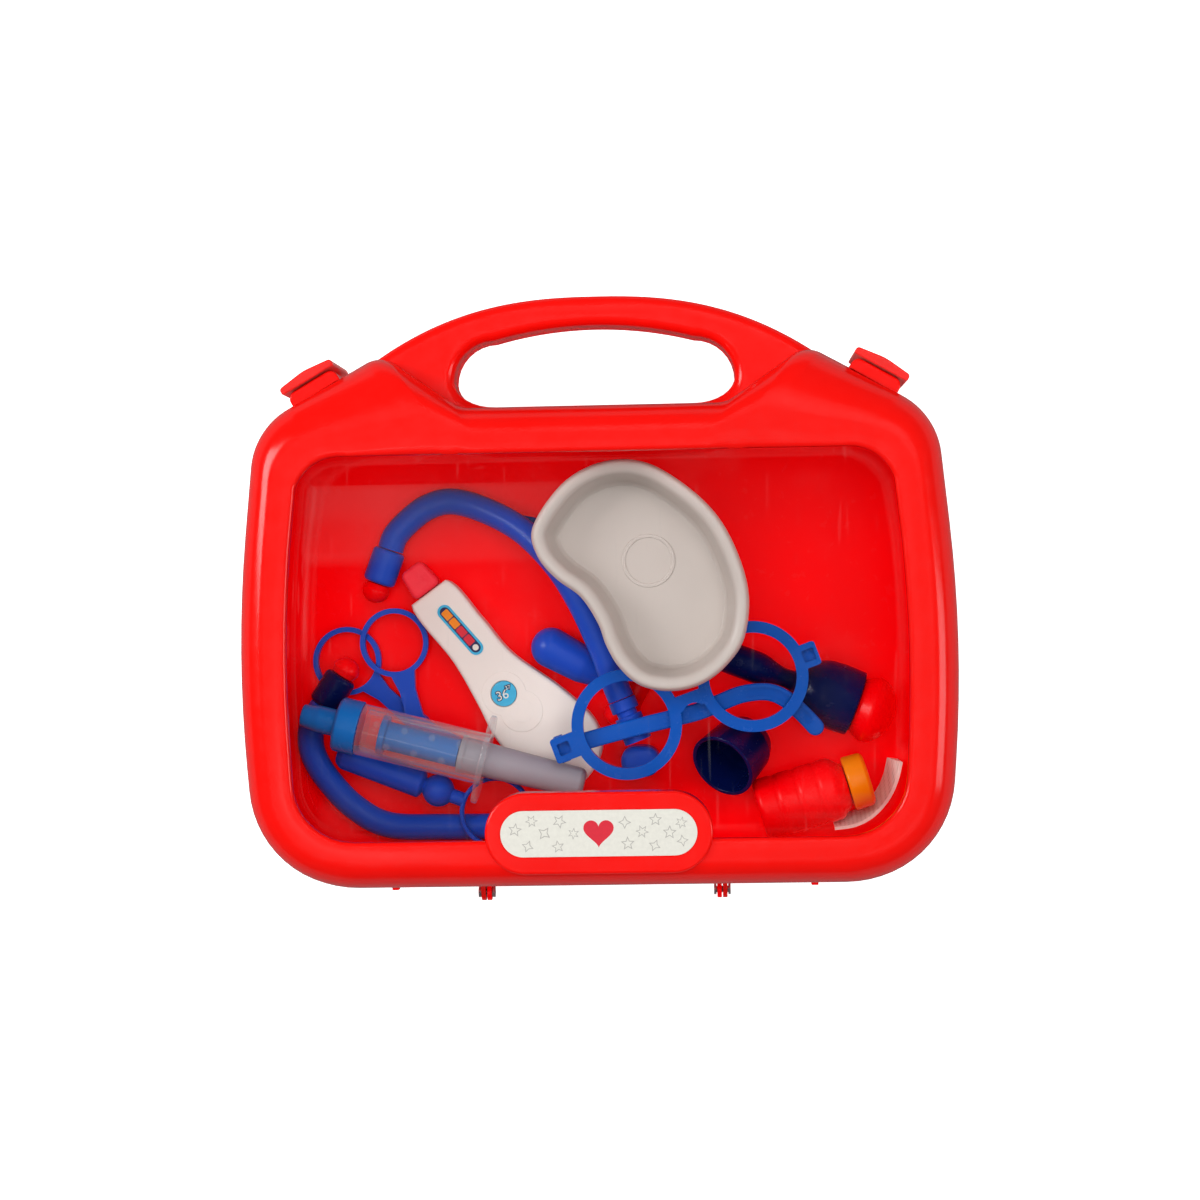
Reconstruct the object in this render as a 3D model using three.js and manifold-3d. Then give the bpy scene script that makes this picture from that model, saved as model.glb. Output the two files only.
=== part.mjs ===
// A toy doctor case, closed and lying on its back, with its toys inside.
// Millimetres. +X right and +Y towards the handle, as the closed case is seen from the front,
// +Z out of the window. Places are measured from the middle of the bottom edge of the rear shell's back,
// and the finished group is moved so that the origin is under the middle of the case.

import * as THREE from 'three';
import { mergeVertices } from 'three/addons/utils/BufferGeometryUtils.js';
import Module from 'manifold-3d';

const wasm = await Module();
wasm.setup();

// Driving sizes of the case
const body_half_width = 132.2;
const body_foot_half_width = 126.9;
const body_shoulder_half_width = 125.6;
const body_widest_height = 88;
const shoulder_height = 171.2;
const hump_half_width = 79;
const hump_height = 198;
const saddle_half_width = 49;
const saddle_height = 177;
const side_bulge_radius = 480;
const bottom_corner_radius = 40;
const shoulder_radius = 28;
const hump_radius = 10;
const saddle_radius = 12;
const bulge_allowance = 1.7;
const rear_depth = 42;
const lid_depth = 36;
const wall = 2.2;
const parting_gap = 0.3;
const weld_distance = 1e-3;
const seat_gap = 0.3;
const overrun = 1;
const outline_centre_height = 92;

// Window and its pane
const frame_side_width = 20.8;
const frame_foot_side_width = 17.4;
const frame_head_side_width = 18.2;
const window_bottom = 19;
const frame_head_width = 12.8;
const window_half_width = body_half_width - frame_side_width;
const window_foot_half_width = body_foot_half_width - frame_foot_side_width;
const window_head_half_width = body_shoulder_half_width - frame_head_side_width;
const window_top = shoulder_height - frame_head_width;
const window_head_radius = 17;
const window_foot_radius = 22;
const pane_thickness = 0.8;
const pane_flange = 4;
const pane_rise = 1.6;

// Back face of the rear shell
const back_inset = 15;
const back_corner_radius = 24;

// Handle
const handle_fall = 22.7;
const handle_crown_power = 2.5;
const handle_top = 217.6;
const handle_bar = 10.8;
const handle_depth = 22;
const handle_edge = 3.5;
const hole_arc_radius = 142;
const hole_half_width = 52;
const hole_corner_radius = 15;
const handle_root_half_width = 82;
const handle_root_height = 186;

// Name pad and label
const pad_half_length = 41;
const pad_height = 29.4;
const pad_centre_height = 21.6;
const pad_depth = 8;
const pad_proud = 1.6;
const pad_edge = 1;
const label_half_length = 35.6;
const label_height = 17.2;
const label_thickness = 0.4;
const label_recess = 0.4;

// Hinges
const hinge_places = [-44, 44];
const hinge_axis_drop = 3.6;
const hinge_pin_radius = 1.25;
const hinge_running_gap = 0.08;
const hinge_ear_radius = 3.1;
const hinge_ear_thickness = 1.7;
const hinge_side_gap = 0.4;
const hinge_ear_root = 8;
const hinge_ear_bite = 1.6;
const hinge_pin_head_radius = 2;
const hinge_pin_head_length = 0.9;
const foot_places = [-78.5, 78.5];
const foot_drop = 2.6;
const foot_width = 2.6;
const foot_length = 6;

// Latches
const latch_place_share = 0.49;
const latch_length = 22;
const latch_thickness = 2.6;
const latch_crown = 1.3;
const latch_wall_gap = 4;
const latch_bottom = 24.6;
const latch_top = 62;
const latch_pin_radius = 1;
const latch_pin_proud = 1.9;
const latch_running_gap = 0.08;
const latch_pin_height = 27;
const latch_lug_thickness = 2.2;
const latch_lug_radius = 1.8;
const latch_lug_places = [-7.5, 7.5];
const latch_lug_gap = 0.35;
const latch_barrel_radius = 2.5;
const latch_bead = 0.6;
const latch_bead_height = 56;
const boss_length = 20;
const boss_proud = 3.4;
const boss_bottom = 44.5;
const boss_top = 60;
const boss_bite = 2;
const lug_bite = 3;

// Stethoscope
const tube_radius = 5.1;
const collar_radius = 6.3;
const collar_length = 13.5;
const ear_tip_radius = 5.4;
const ear_tip_length = 7.5;
const yoke_length = 17;
const yoke_depth = 10.7;
const stem_box_width = 15;
const stem_box_length = 12;
const stem_corner_radius = 5.6;
const stem_edge = 2.6;

// Thermometer
const thermometer_thickness = 12.4;
const thermometer_edge = 1.6;
const thermometer_dial_radius = 4.9;
const thermometer_dial_thickness = 1.2;
const thermometer_recess = 1.4;
const thermometer_scale_length = 24;
const thermometer_scale_width = 5.6;
const thermometer_scale_thickness = 0.4;
const thermometer_tip_length = 12;
const thermometer_tip_width = 12.6;
const tip_edge = 1.1;
const tip_nose_radius = 2.5;
const tip_nose_share = 0.77;

// Syringe
const syringe_tilt = 14.6;
const barrel_radius = 9.9;
const barrel_bore = 8.4;
const barrel_length = 50;
const barrel_floor = 2;
const flange_half_height = 17.2;
const flange_half_depth = 11.3;
const flange_thickness = 2.2;
const nozzle_radius = 5.2;
const nozzle_length = 14;
const collar_cap_radius = 10.5;
const collar_cap_length = 9;
const plunger_radius = 6.2;
const plunger_length = 42;
const plunger_reach = 6;
const piston_radius = 5.3;
const piston_length = 38;
const plunger_thumb_radius = 6.9;
const plunger_thumb_length = 2.4;

// Scissors
const loop_radius = 13.6;
const loop_wire = 2.2;
const blade_thickness = 3.2;
const blade_width = 7;
const blade_reach = 30;
const scissor_pin_radius = 1.6;
const scissor_pin_gap = 0.08;

// Glasses
const lens_radius = 20.8;
const rim_width = 4.6;
const rim_depth = 4.4;
const bridge_width = 6;
const lug_length = 11;
const lug_width = 9.6;
const lug_hole = 4.6;
const temple_width = 6.6;
const temple_depth = 3.4;
const temple_pin_radius = 1;
const temple_end_gap = 0.5;
const knuckle_width = 1.4;
const loose_temple_turn = -10;
const bridge_notch_radius = 4.8;

// Kidney dish
const dish_height = 20;
const dish_wall = 1.6;
const dish_rim = 3.2;
const dish_slope = 7;
const dish_ring_radius = 10;
const dish_ring_width = 1.4;
const dish_ring_height = 0.5;

// Reflex hammer, mirror, bell, cup, bottle and band
const hammer_handle_radius = 7.9;
const hammer_head_radius = 7.6;
const hammer_head_length = 15;
const hammer_neck_radius = 3.6;
const mirror_ball_radius = 6.3;
const mirror_handle_radius = 5.6;
const mirror_neck_radius = 2.8;
const mirror_ring_radius = 12.2;
const mirror_ring_wire = 1.8;
const bell_mouth_radius = 13;
const bell_bulb_radius = 8;
const bell_neck_radius = 3.8;
const bell_wall = 1.8;
const bell_cap_length = 15;
const cup_radius = 13.2;
const cup_length = 21;
const cup_wall = 1.6;
const cup_foot_radius = 9.6;
const bottle_radius = 12.2;
const bottle_length = 43.5;
const bottle_neck_radius = 8;
const bottle_cap_radius = 10.6;
const bottle_cap_length = 8.4;
const band_thickness = 1.2;
const band_width = 14;

// Heights above the table at which the loose toys lie
const floor_height = wall + seat_gap;
const tube_floor_height = floor_height + tube_radius;
const tube_high_height = floor_height + 2 * hammer_handle_radius + seat_gap + tube_radius;
const tube_end_height = floor_height + blade_thickness + seat_gap + collar_radius;
const syringe_height = floor_height + thermometer_thickness + seat_gap + flange_half_depth;
const glasses_height = syringe_height + plunger_thumb_radius + seat_gap;
const dish_height_above = glasses_height + rim_depth + seat_gap;

// Facets
const round_facets = 16;
const fine_facets = 24;
const fillet_facets = 4;

// Colours
const red_shell = { color: '#f2221c', roughness: 0.32, metalness: 0 };
const deep_red = { color: '#e3121a', roughness: 0.3, metalness: 0 };
const clear_sheet = { color: '#dfe8ee', roughness: 0.05, metalness: 0, transparent: true, opacity: 0.25 };
const label_white = { color: '#ecebe2', roughness: 0.5, metalness: 0 };
const royal_blue = { color: '#1f4db2', roughness: 0.35, metalness: 0 };
const bright_blue = { color: '#0a62cf', roughness: 0.3, metalness: 0 };
const navy = { color: '#0d1f78', roughness: 0.3, metalness: 0 };
const warm_white = { color: '#e8e0d6', roughness: 0.35, metalness: 0 };
const dish_grey = { color: '#cbc6bf', roughness: 0.35, metalness: 0 };
const rod_grey = { color: '#a9a4a6', roughness: 0.4, metalness: 0 };
const orange = { color: '#ee8a14', roughness: 0.35, metalness: 0 };
const dial_blue = { color: '#3fa9d9', roughness: 0.4, metalness: 0 };
const steel = { color: '#b9bcc0', roughness: 0.3, metalness: 1 };

// Geometry helpers

const radians = THREE.MathUtils.degToRad;

function clean(geometry) {
  const bare = geometry.clone();
  for (const name of Object.keys(bare.attributes)) {
    if (name !== 'position') bare.deleteAttribute(name);
  }
  const merged = mergeVertices(bare, weld_distance);
  const kept = [];
  const index = merged.index.array;
  for (let i = 0; i < index.length; i += 3) {
    const [a, b, c] = [index[i], index[i + 1], index[i + 2]];
    if (a !== b && b !== c && c !== a) kept.push(a, b, c);
  }
  merged.setIndex(kept);
  if (signedVolume(merged) < 0) {
    for (let i = 0; i < kept.length; i += 3) [kept[i], kept[i + 1]] = [kept[i + 1], kept[i]];
    merged.setIndex(kept);
  }
  return merged;
}

function signedVolume(geometry) {
  const place = geometry.attributes.position;
  const index = geometry.index.array;
  const [a, b, c] = [new THREE.Vector3(), new THREE.Vector3(), new THREE.Vector3()];
  let volume = 0;
  for (let i = 0; i < index.length; i += 3) {
    a.fromBufferAttribute(place, index[i]);
    b.fromBufferAttribute(place, index[i + 1]);
    c.fromBufferAttribute(place, index[i + 2]);
    volume += a.dot(b.cross(c));
  }
  return volume;
}

function solid(geometry) {
  const ready = clean(geometry);
  return new wasm.Manifold(new wasm.Mesh({
    numProp: 3,
    vertProperties: new Float32Array(ready.attributes.position.array),
    triVerts: new Uint32Array(ready.index.array),
  }));
}

function geometryOf(manifold) {
  const mesh = manifold.getMesh();
  const geometry = new THREE.BufferGeometry();
  geometry.setAttribute('position', new THREE.BufferAttribute(mesh.vertProperties, mesh.numProp));
  geometry.setIndex(new THREE.BufferAttribute(mesh.triVerts, 1));
  return geometry;
}

function join(first, ...others) {
  return geometryOf(others.reduce((sum, next) => sum.add(solid(next)), solid(first)));
}

function cut(first, ...others) {
  return geometryOf(others.reduce((rest, next) => rest.subtract(solid(next)), solid(first)));
}

// A skin over rings of equal counts of points. Without `looped` the first and last ring are closed by a fan.
function skin(rings, looped) {
  const count = rings[0].length;
  const places = rings.flat().flatMap((p) => [p.x, p.y, p.z]);
  const index = [];
  const last = looped ? rings.length : rings.length - 1;
  for (let r = 0; r < last; r += 1) {
    const next = (r + 1) % rings.length;
    for (let i = 0; i < count; i += 1) {
      const j = (i + 1) % count;
      index.push(r * count + i, r * count + j, next * count + j);
      index.push(r * count + i, next * count + j, next * count + i);
    }
  }
  if (!looped) {
    for (const [ring, start, flip] of [[rings[0], 0, true], [rings.at(-1), last * count, false]]) {
      const middle = ring.reduce((sum, p) => sum.add(p), new THREE.Vector3()).divideScalar(count);
      places.push(middle.x, middle.y, middle.z);
      const centre = places.length / 3 - 1;
      for (let i = 0; i < count; i += 1) {
        const j = (i + 1) % count;
        if (flip) index.push(centre, start + j, start + i);
        else index.push(centre, start + i, start + j);
      }
    }
  }
  const geometry = new THREE.BufferGeometry();
  geometry.setAttribute('position', new THREE.Float32BufferAttribute(places, 3));
  geometry.setIndex(index);
  return clean(geometry);
}

// A closed outline from corners [x, y, radius], with each corner rounded by a few points, or by as many
// as a fourth value says. No rounding takes more than half of a side.
function rounded(corners, facets = fillet_facets) {
  const points = [];
  corners.forEach(([x, y, corner_radius, steps = facets], i) => {
    const corner = new THREE.Vector2(x, y);
    const corner_before = new THREE.Vector2(...corners.at(i - 1));
    const corner_after = new THREE.Vector2(...corners[(i + 1) % corners.length]);
    const before = corner_before.clone().sub(corner).normalize();
    const after = corner_after.clone().sub(corner).normalize();
    const half = Math.acos(THREE.MathUtils.clamp(before.dot(after), -1, 1)) / 2;
    const room = Math.min(corner.distanceTo(corner_before), corner.distanceTo(corner_after)) / 2;
    const reach = Math.min(corner_radius / Math.tan(half), room);
    const radius = reach * Math.tan(half);
    const start = corner.clone().addScaledVector(before, reach);
    const end = corner.clone().addScaledVector(after, reach);
    const bisector = before.clone().add(after).normalize();
    const centre = corner.clone().addScaledVector(bisector, radius / Math.sin(half));
    const from = Math.atan2(start.y - centre.y, start.x - centre.x);
    let turn = Math.atan2(end.y - centre.y, end.x - centre.x) - from;
    if (turn > Math.PI) turn -= 2 * Math.PI;
    if (turn < -Math.PI) turn += 2 * Math.PI;
    for (let step = 0; step <= steps; step += 1) {
      const angle = from + turn * step / steps;
      points.push(new THREE.Vector2(radius * Math.cos(angle), radius * Math.sin(angle)).add(centre));
    }
  });
  return points;
}

// The same points as `outline`, seen from the centre of the case, where their rays meet another outline.
function follow(outline, other) {
  const centre = new THREE.Vector2(0, outline_centre_height);
  return outline.map((point) => {
    const ray = point.clone().sub(centre);
    let best = null;
    other.forEach((a, i) => {
      const side = other[(i + 1) % other.length].clone().sub(a);
      const start = a.clone().sub(centre);
      const cross = ray.cross(side);
      if (Math.abs(cross) < 1e-9) return;
      const along = start.cross(side) / cross;
      const share = start.cross(ray) / cross;
      if (along > 0 && share >= 0 && share <= 1 && (best === null || along < best)) best = along;
    });
    return centre.clone().addScaledVector(ray, best);
  });
}

function level(outline, height) {
  return outline.map((p) => new THREE.Vector3(p.x, p.y, height));
}

function between(outer, inner, share) {
  return outer.map((p, i) => p.clone().lerp(inner[i], share));
}

function inset(outline, distance) {
  return outline.map((point, i) => {
    const before = outline.at(i - 1);
    const after = outline[(i + 1) % outline.length];
    const along = after.clone().sub(before).normalize();
    return new THREE.Vector2(point.x - along.y * distance, point.y + along.x * distance);
  });
}

function shapeOf(points, holes = []) {
  const shape = new THREE.Shape(points);
  shape.holes = holes.map((hole) => new THREE.Path(hole));
  return shape;
}

// A flat outline given thickness, its lower face at `bottom`.
function slab(points, thickness, bottom = 0, holes = []) {
  const shape = shapeOf(points, holes);
  const geometry = new THREE.ExtrudeGeometry(shape, { depth: thickness, bevelEnabled: false });
  return clean(geometry.translate(0, 0, bottom));
}

// A flat outline whose two rims are eased by `edge`.
function eased(points, thickness, bottom, edge, holes = []) {
  const geometry = new THREE.ExtrudeGeometry(shapeOf(points, holes), {
    depth: thickness - 2 * edge, bevelEnabled: true, bevelThickness: edge, bevelSize: edge,
    bevelOffset: -edge, bevelSegments: 1,
  });
  return clean(geometry.translate(0, 0, bottom + edge));
}

function circle(radius, facets = round_facets, x = 0, y = 0) {
  return Array.from({ length: facets }, (_, i) => {
    const angle = 2 * Math.PI * i / facets;
    return new THREE.Vector2(x + radius * Math.cos(angle), y + radius * Math.sin(angle));
  });
}

// Turned about the Z axis from points [radius, height] that start and end on it or close on themselves.
function turned(profile, facets = round_facets) {
  const points = profile.map(([r, z]) => new THREE.Vector2(r, z));
  return clean(new THREE.LatheGeometry(points, facets).rotateX(Math.PI / 2));
}

// The same, laid along a line from one place to another.
function turnedAlong(profile, from, to, facets = round_facets) {
  const direction = to.clone().sub(from).normalize();
  const turn = new THREE.Quaternion().setFromUnitVectors(new THREE.Vector3(0, 0, 1), direction);
  return turned(profile, facets).applyQuaternion(turn).translate(from.x, from.y, from.z);
}

// A round bar along a smooth curve.
function bar(points, radius, steps, facets = 10) {
  const curve = new THREE.CatmullRomCurve3(points, false, 'centripetal');
  const geometry = new THREE.ExtrudeGeometry(shapeOf(circle(radius, facets)), {
    steps, extrudePath: curve, bevelEnabled: false,
  });
  return clean(geometry);
}

function pinAlongX(radius, length, x, y, z, facets = 16) {
  const cylinder = new THREE.CylinderGeometry(radius, radius, length, facets);
  return clean(cylinder.rotateZ(Math.PI / 2).translate(x, y, z));
}

function spot(x, y, z) {
  return new THREE.Vector3(x, y, z);
}

const case_group = new THREE.Group();

function piece(name, geometry, finish, parent = case_group) {
  const mesh = new THREE.Mesh(geometry, new THREE.MeshStandardMaterial(finish));
  mesh.name = name;
  parent.add(mesh);
  return mesh;
}

// The outline of both shells at the parting line, from the bottom middle round to the left
const half_corners = [
  [body_foot_half_width, 0, bottom_corner_radius, 8],
  [body_half_width + bulge_allowance, body_widest_height, side_bulge_radius, 3],
  [body_shoulder_half_width, shoulder_height, shoulder_radius, 6],
  [hump_half_width, hump_height, hump_radius, 3],
  [saddle_half_width, saddle_height, saddle_radius, 3],
];

function bothHalves(corners) {
  return [...corners, ...corners.map(([x, ...rest]) => [-x, ...rest]).reverse()];
}

const body_outline = rounded(bothHalves(half_corners));

const window_half = [
  [window_foot_half_width, window_bottom, window_foot_radius],
  [window_half_width + bulge_allowance, body_widest_height, side_bulge_radius],
  [window_head_half_width, window_top, window_head_radius],
];
const window_outline = rounded(bothHalves(window_half), 6);
const window_ring = follow(body_outline, window_outline);

const back_half = [
  [body_foot_half_width - back_inset, back_inset, back_corner_radius],
  [body_half_width - back_inset, body_widest_height, side_bulge_radius],
  [body_shoulder_half_width - back_inset, saddle_height - back_inset, back_corner_radius],
];
const back_outline = rounded(bothHalves(back_half), 6);
const back_ring = follow(body_outline, back_outline);
const parting_height = rear_depth;

// Rear shell: how far in towards the back face, and how high, as shares
const rear_outer_shares = [
  [1, 0], [0.82, 0.016], [0.62, 0.07], [0.42, 0.18], [0.24, 0.35], [0.1, 0.58], [0.03, 0.82], [0, 1],
];

function rearRings(outer, inner, height) {
  return rear_outer_shares.map(([share, rise]) => level(between(outer, inner, share), rise * height));
}

const inner_body = inset(body_outline, wall);
const inner_back = inset(back_ring, wall);
const rear_outer = rearRings(body_outline, back_ring, parting_height - parting_gap);
const rear_inner = rear_outer_shares.map(([share, rise]) => (
  level(between(inner_body, inner_back, share), wall + rise * (parting_height - wall + overrun))
));
const rear_cup = cut(skin(rear_outer, false), skin(rear_inner, false));

// Handle: an arched bar, half on each shell, open to the case's own outline
const hole_top = handle_top - handle_bar;
const hole_centre = hole_top - hole_arc_radius;
const hole_arch_half = hole_half_width - hole_corner_radius;
const hole_shoulder = hole_centre + Math.sqrt(hole_arc_radius ** 2 - hole_arch_half ** 2);
const hole_foot = saddle_height + seat_gap;
const hole_side_height = hole_shoulder - hole_corner_radius;

function arc(radius, centre, half_width, steps) {
  const reach = Math.asin(half_width / radius);
  return Array.from({ length: steps + 1 }, (_, i) => {
    const angle = reach - 2 * reach * i / steps;
    return new THREE.Vector2(radius * Math.sin(angle), centre + radius * Math.cos(angle));
  });
}

// The handle's outer edge, flatter at its top than a circle's arc
function handleCrown(steps) {
  return Array.from({ length: steps + 1 }, (_, i) => {
    const across = 1 - 2 * i / steps;
    return new THREE.Vector2(
      across * handle_root_half_width, handle_top - handle_fall * Math.abs(across) ** handle_crown_power,
    );
  });
}

// One end of the hole: a quarter ellipse up to the arch and another down to the foot
function holeEnd(sign, steps = 8) {
  return Array.from({ length: steps - 1 }, (_, i) => {
    const turn = Math.PI * (i + 1) / steps;
    const drop = turn < Math.PI / 2 ? hole_shoulder - hole_side_height : hole_side_height - hole_foot;
    return new THREE.Vector2(
      sign * (hole_arch_half + hole_corner_radius * Math.sin(turn)),
      hole_side_height + drop * Math.cos(turn),
    );
  });
}

const hole_outline = [
  ...arc(hole_arc_radius, hole_centre, hole_arch_half, 12),
  ...holeEnd(-1),
  new THREE.Vector2(-hole_arch_half, hole_foot),
  new THREE.Vector2(hole_arch_half, hole_foot),
  ...holeEnd(1).reverse(),
];
const handle_foot_height = handle_root_height - shoulder_radius;
const handle_outline = [
  new THREE.Vector2(-handle_root_half_width, handle_foot_height),
  new THREE.Vector2(handle_root_half_width, handle_foot_height),
  ...handleCrown(22),
];
const handle_bottom = parting_height - handle_depth / 2;
const handle_blank = eased(handle_outline, handle_depth, handle_bottom, handle_edge, [hole_outline]);

function handleHalf(bottom, top, inside) {
  const keep = slab([
    new THREE.Vector2(-body_half_width, 0), new THREE.Vector2(body_half_width, 0),
    new THREE.Vector2(body_half_width, 2 * handle_top), new THREE.Vector2(-body_half_width, 2 * handle_top),
  ], top - bottom, bottom);
  return geometryOf(solid(handle_blank).intersect(solid(keep)).subtract(solid(inside)));
}

// Places of the latches: a share of the way up each shoulder
const shoulder_run = body_shoulder_half_width - hump_half_width;
const shoulder_rise = hump_height - shoulder_height;
const shoulder_slope = Math.atan2(shoulder_rise, shoulder_run);
const latch_x = body_shoulder_half_width - latch_place_share * shoulder_run;
const latch_y = shoulder_height + latch_place_share * shoulder_rise;

// From a latch's own frame (along the shoulder, out of it, up) to the case's
function onShoulder(geometry, sign) {
  return geometry.clone().rotateZ(-sign * shoulder_slope).translate(sign * latch_x, latch_y, 0);
}

function box(x_low, x_high, y_low, y_high, z_low, z_high) {
  const geometry = new THREE.BoxGeometry(x_high - x_low, y_high - y_low, z_high - z_low);
  return geometry.translate((x_low + x_high) / 2, (y_low + y_high) / 2, (z_low + z_high) / 2);
}

// A plate drawn in (Y, Z) and given thickness along X
function crossPlate(points, thickness, x) {
  return slab(points, thickness).rotateX(Math.PI / 2).rotateZ(Math.PI / 2).translate(x, 0, 0);
}

// Hinge ears: a round end about the axis and a root in the bottom wall
const hinge_y = -hinge_axis_drop;
const hinge_z = parting_height;

function hingeEar(x, side) {
  const round_end = circle(hinge_ear_radius, 16, hinge_y, hinge_z);
  const root_low = side < 0 ? hinge_z - hinge_ear_root : hinge_z + parting_gap;
  const root_high = side < 0 ? hinge_z - parting_gap : hinge_z + hinge_ear_root;
  const root = [
    new THREE.Vector2(hinge_ear_bite, root_low), new THREE.Vector2(hinge_ear_bite, root_high),
    new THREE.Vector2(hinge_y, side < 0 ? root_high : hinge_z + hinge_ear_radius),
    new THREE.Vector2(hinge_y, side < 0 ? hinge_z - hinge_ear_radius : root_low),
  ];
  const blank = join(crossPlate(round_end, hinge_ear_thickness, x), crossPlate(root, hinge_ear_thickness, x));
  const hole = pinAlongX(hinge_pin_radius + hinge_running_gap, 4 * hinge_ear_thickness,
    x + hinge_ear_thickness / 2, hinge_y, hinge_z);
  return cut(blank, hole);
}

// The low face of an ear on the +X side of a hinge's middle, and of one on the other side
const ear_right = hinge_side_gap / 2;
const ear_left = -hinge_side_gap / 2 - hinge_ear_thickness;
const rear_ear_x = (place) => place + (place < 0 ? ear_right : ear_left);
const lid_ear_x = (place) => place + (place < 0 ? ear_left : ear_right);

// Rear shell
const rear_top = parting_height - parting_gap;
const rear_inner_space = skin(rear_inner, false);
const foot_points = [
  new THREE.Vector2(hinge_ear_bite, rear_top - foot_length), new THREE.Vector2(hinge_ear_bite, rear_top),
  new THREE.Vector2(-foot_drop, rear_top), new THREE.Vector2(-foot_drop, rear_top - foot_length / 2),
];
const lug_points = [
  ...circle(latch_lug_radius, 16, latch_pin_proud, latch_pin_height),
];
const lug_root_points = [
  new THREE.Vector2(-lug_bite, latch_pin_height - 2 * latch_lug_radius),
  new THREE.Vector2(latch_pin_proud, latch_pin_height - latch_lug_radius),
  new THREE.Vector2(latch_pin_proud, latch_pin_height + latch_lug_radius),
  new THREE.Vector2(-lug_bite, latch_pin_height + 2 * latch_lug_radius),
];

function latchLug(place) {
  const x = place - latch_lug_thickness / 2;
  const blank = join(
    crossPlate(lug_points, latch_lug_thickness, x), crossPlate(lug_root_points, latch_lug_thickness, x),
  );
  const hole = pinAlongX(latch_pin_radius + latch_running_gap, 2 * latch_lug_thickness, place,
    latch_pin_proud, latch_pin_height);
  return cut(blank, hole);
}

const rear_shell = join(
  rear_cup,
  handleHalf(parting_height - handle_depth / 2, rear_top, rear_inner_space),
  ...hinge_places.map((place) => hingeEar(rear_ear_x(place), -1)),
  ...foot_places.map((place) => crossPlate(foot_points, foot_width, place - foot_width / 2)),
  ...[-1, 1].flatMap((sign) => latch_lug_places.map((place) => onShoulder(latchLug(place), sign))),
);
piece('rear_shell', rear_shell, deep_red);

// Front frame: a ring from the parting line up to the window, as shares of the way in and of the depth
const lid_outer_shares = [
  [0, 0], [0.03, 0.45], [0.08, 0.68], [0.17, 0.83], [0.3, 0.93], [0.45, 0.985], [0.6, 1], [0.9, 1],
  [1, 0.965],
];
const lid_inner_shares = [
  [1, 0.9], [0.62, 0.9], [0.48, 0.88], [0.36, 0.83], [0.27, 0.75], [0.2, 0.62], [0.16, 0.44], [0.14, 0],
];
const lid_rings = [...lid_outer_shares, ...lid_inner_shares].map(([share, rise]) => (
  level(between(body_outline, window_ring, share), parting_height + rise * lid_depth)
));
const lid_inside = skin(lid_inner_shares.slice(1).reverse().map(([share, rise]) => (
  level(between(body_outline, window_ring, share), parting_height - overrun + rise * (lid_depth + overrun))
)), false);
const pane_seat = parting_height + lid_inner_shares[0][1] * lid_depth;
const lid_top = parting_height + lid_depth;

function stadium(half_length, height, y, facets = 8) {
  const radius = height / 2;
  const points = [];
  for (const sign of [1, -1]) {
    for (let i = 0; i <= facets; i += 1) {
      const angle = -Math.PI / 2 + Math.PI * i / facets;
      points.push(new THREE.Vector2(
        sign * (half_length - radius + radius * Math.cos(angle)), y + sign * radius * Math.sin(angle),
      ));
    }
  }
  return points;
}

const pad = eased(stadium(pad_half_length, pad_height, pad_centre_height), pad_depth + pad_proud,
  lid_top - pad_depth, pad_edge);
const label_outline = stadium(label_half_length, label_height, pad_centre_height);
const pad_top = lid_top + pad_proud;
const label_pocket = slab(label_outline, label_recess + overrun, pad_top - label_recess);
const boss_points = stadium(boss_length / 2, 2 * boss_proud, 0);
const boss_keep = box(-boss_length, boss_length, -boss_bite, boss_proud + overrun, boss_bottom, boss_top);
const boss_blank = slab(boss_points, boss_top - boss_bottom, boss_bottom);
const boss = geometryOf(solid(boss_blank).intersect(solid(boss_keep)));

const front_frame = join(
  skin(lid_rings, true),
  handleHalf(parting_height, parting_height + handle_depth / 2, lid_inside),
  cut(pad, label_pocket),
  ...hinge_places.map((place) => hingeEar(lid_ear_x(place), 1)),
  ...[-1, 1].map((sign) => onShoulder(boss, sign)),
);
piece('front_frame', front_frame, red_shell);

// Window pane, formed up into the opening, with its flange under the frame
const pane_hole = inset(window_ring, seat_gap + wall / 2);
const pane_out = inset(window_ring, -pane_flange);
const pane_shoulder = inset(window_ring, seat_gap + wall);
const pane_low = pane_seat - pane_thickness;
const pane_blank = skin([
  level(pane_out, pane_low), level(pane_out, pane_seat), level(pane_hole, pane_seat),
  level(pane_shoulder, pane_seat + pane_rise),
], false);
const pane_inner = inset(pane_hole, pane_thickness);
const pane_hollow = skin([
  level(pane_inner, pane_low - overrun), level(pane_inner, pane_low),
  level(inset(pane_shoulder, pane_thickness), pane_seat + pane_rise - pane_thickness),
], false);
const pad_room = slab(stadium(pad_half_length + seat_gap, pad_height + 2 * seat_gap, pad_centre_height),
  pad_depth + pad_proud + 2 * overrun, lid_top - pad_depth - overrun);
piece('window_pane', cut(pane_blank, pane_hollow, pad_room), clear_sheet);

const label_edge = stadium(label_half_length - seat_gap, label_height - 2 * seat_gap, pad_centre_height);
piece('name_label', slab(label_edge, label_thickness, pad_top - label_recess), label_white);

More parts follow.
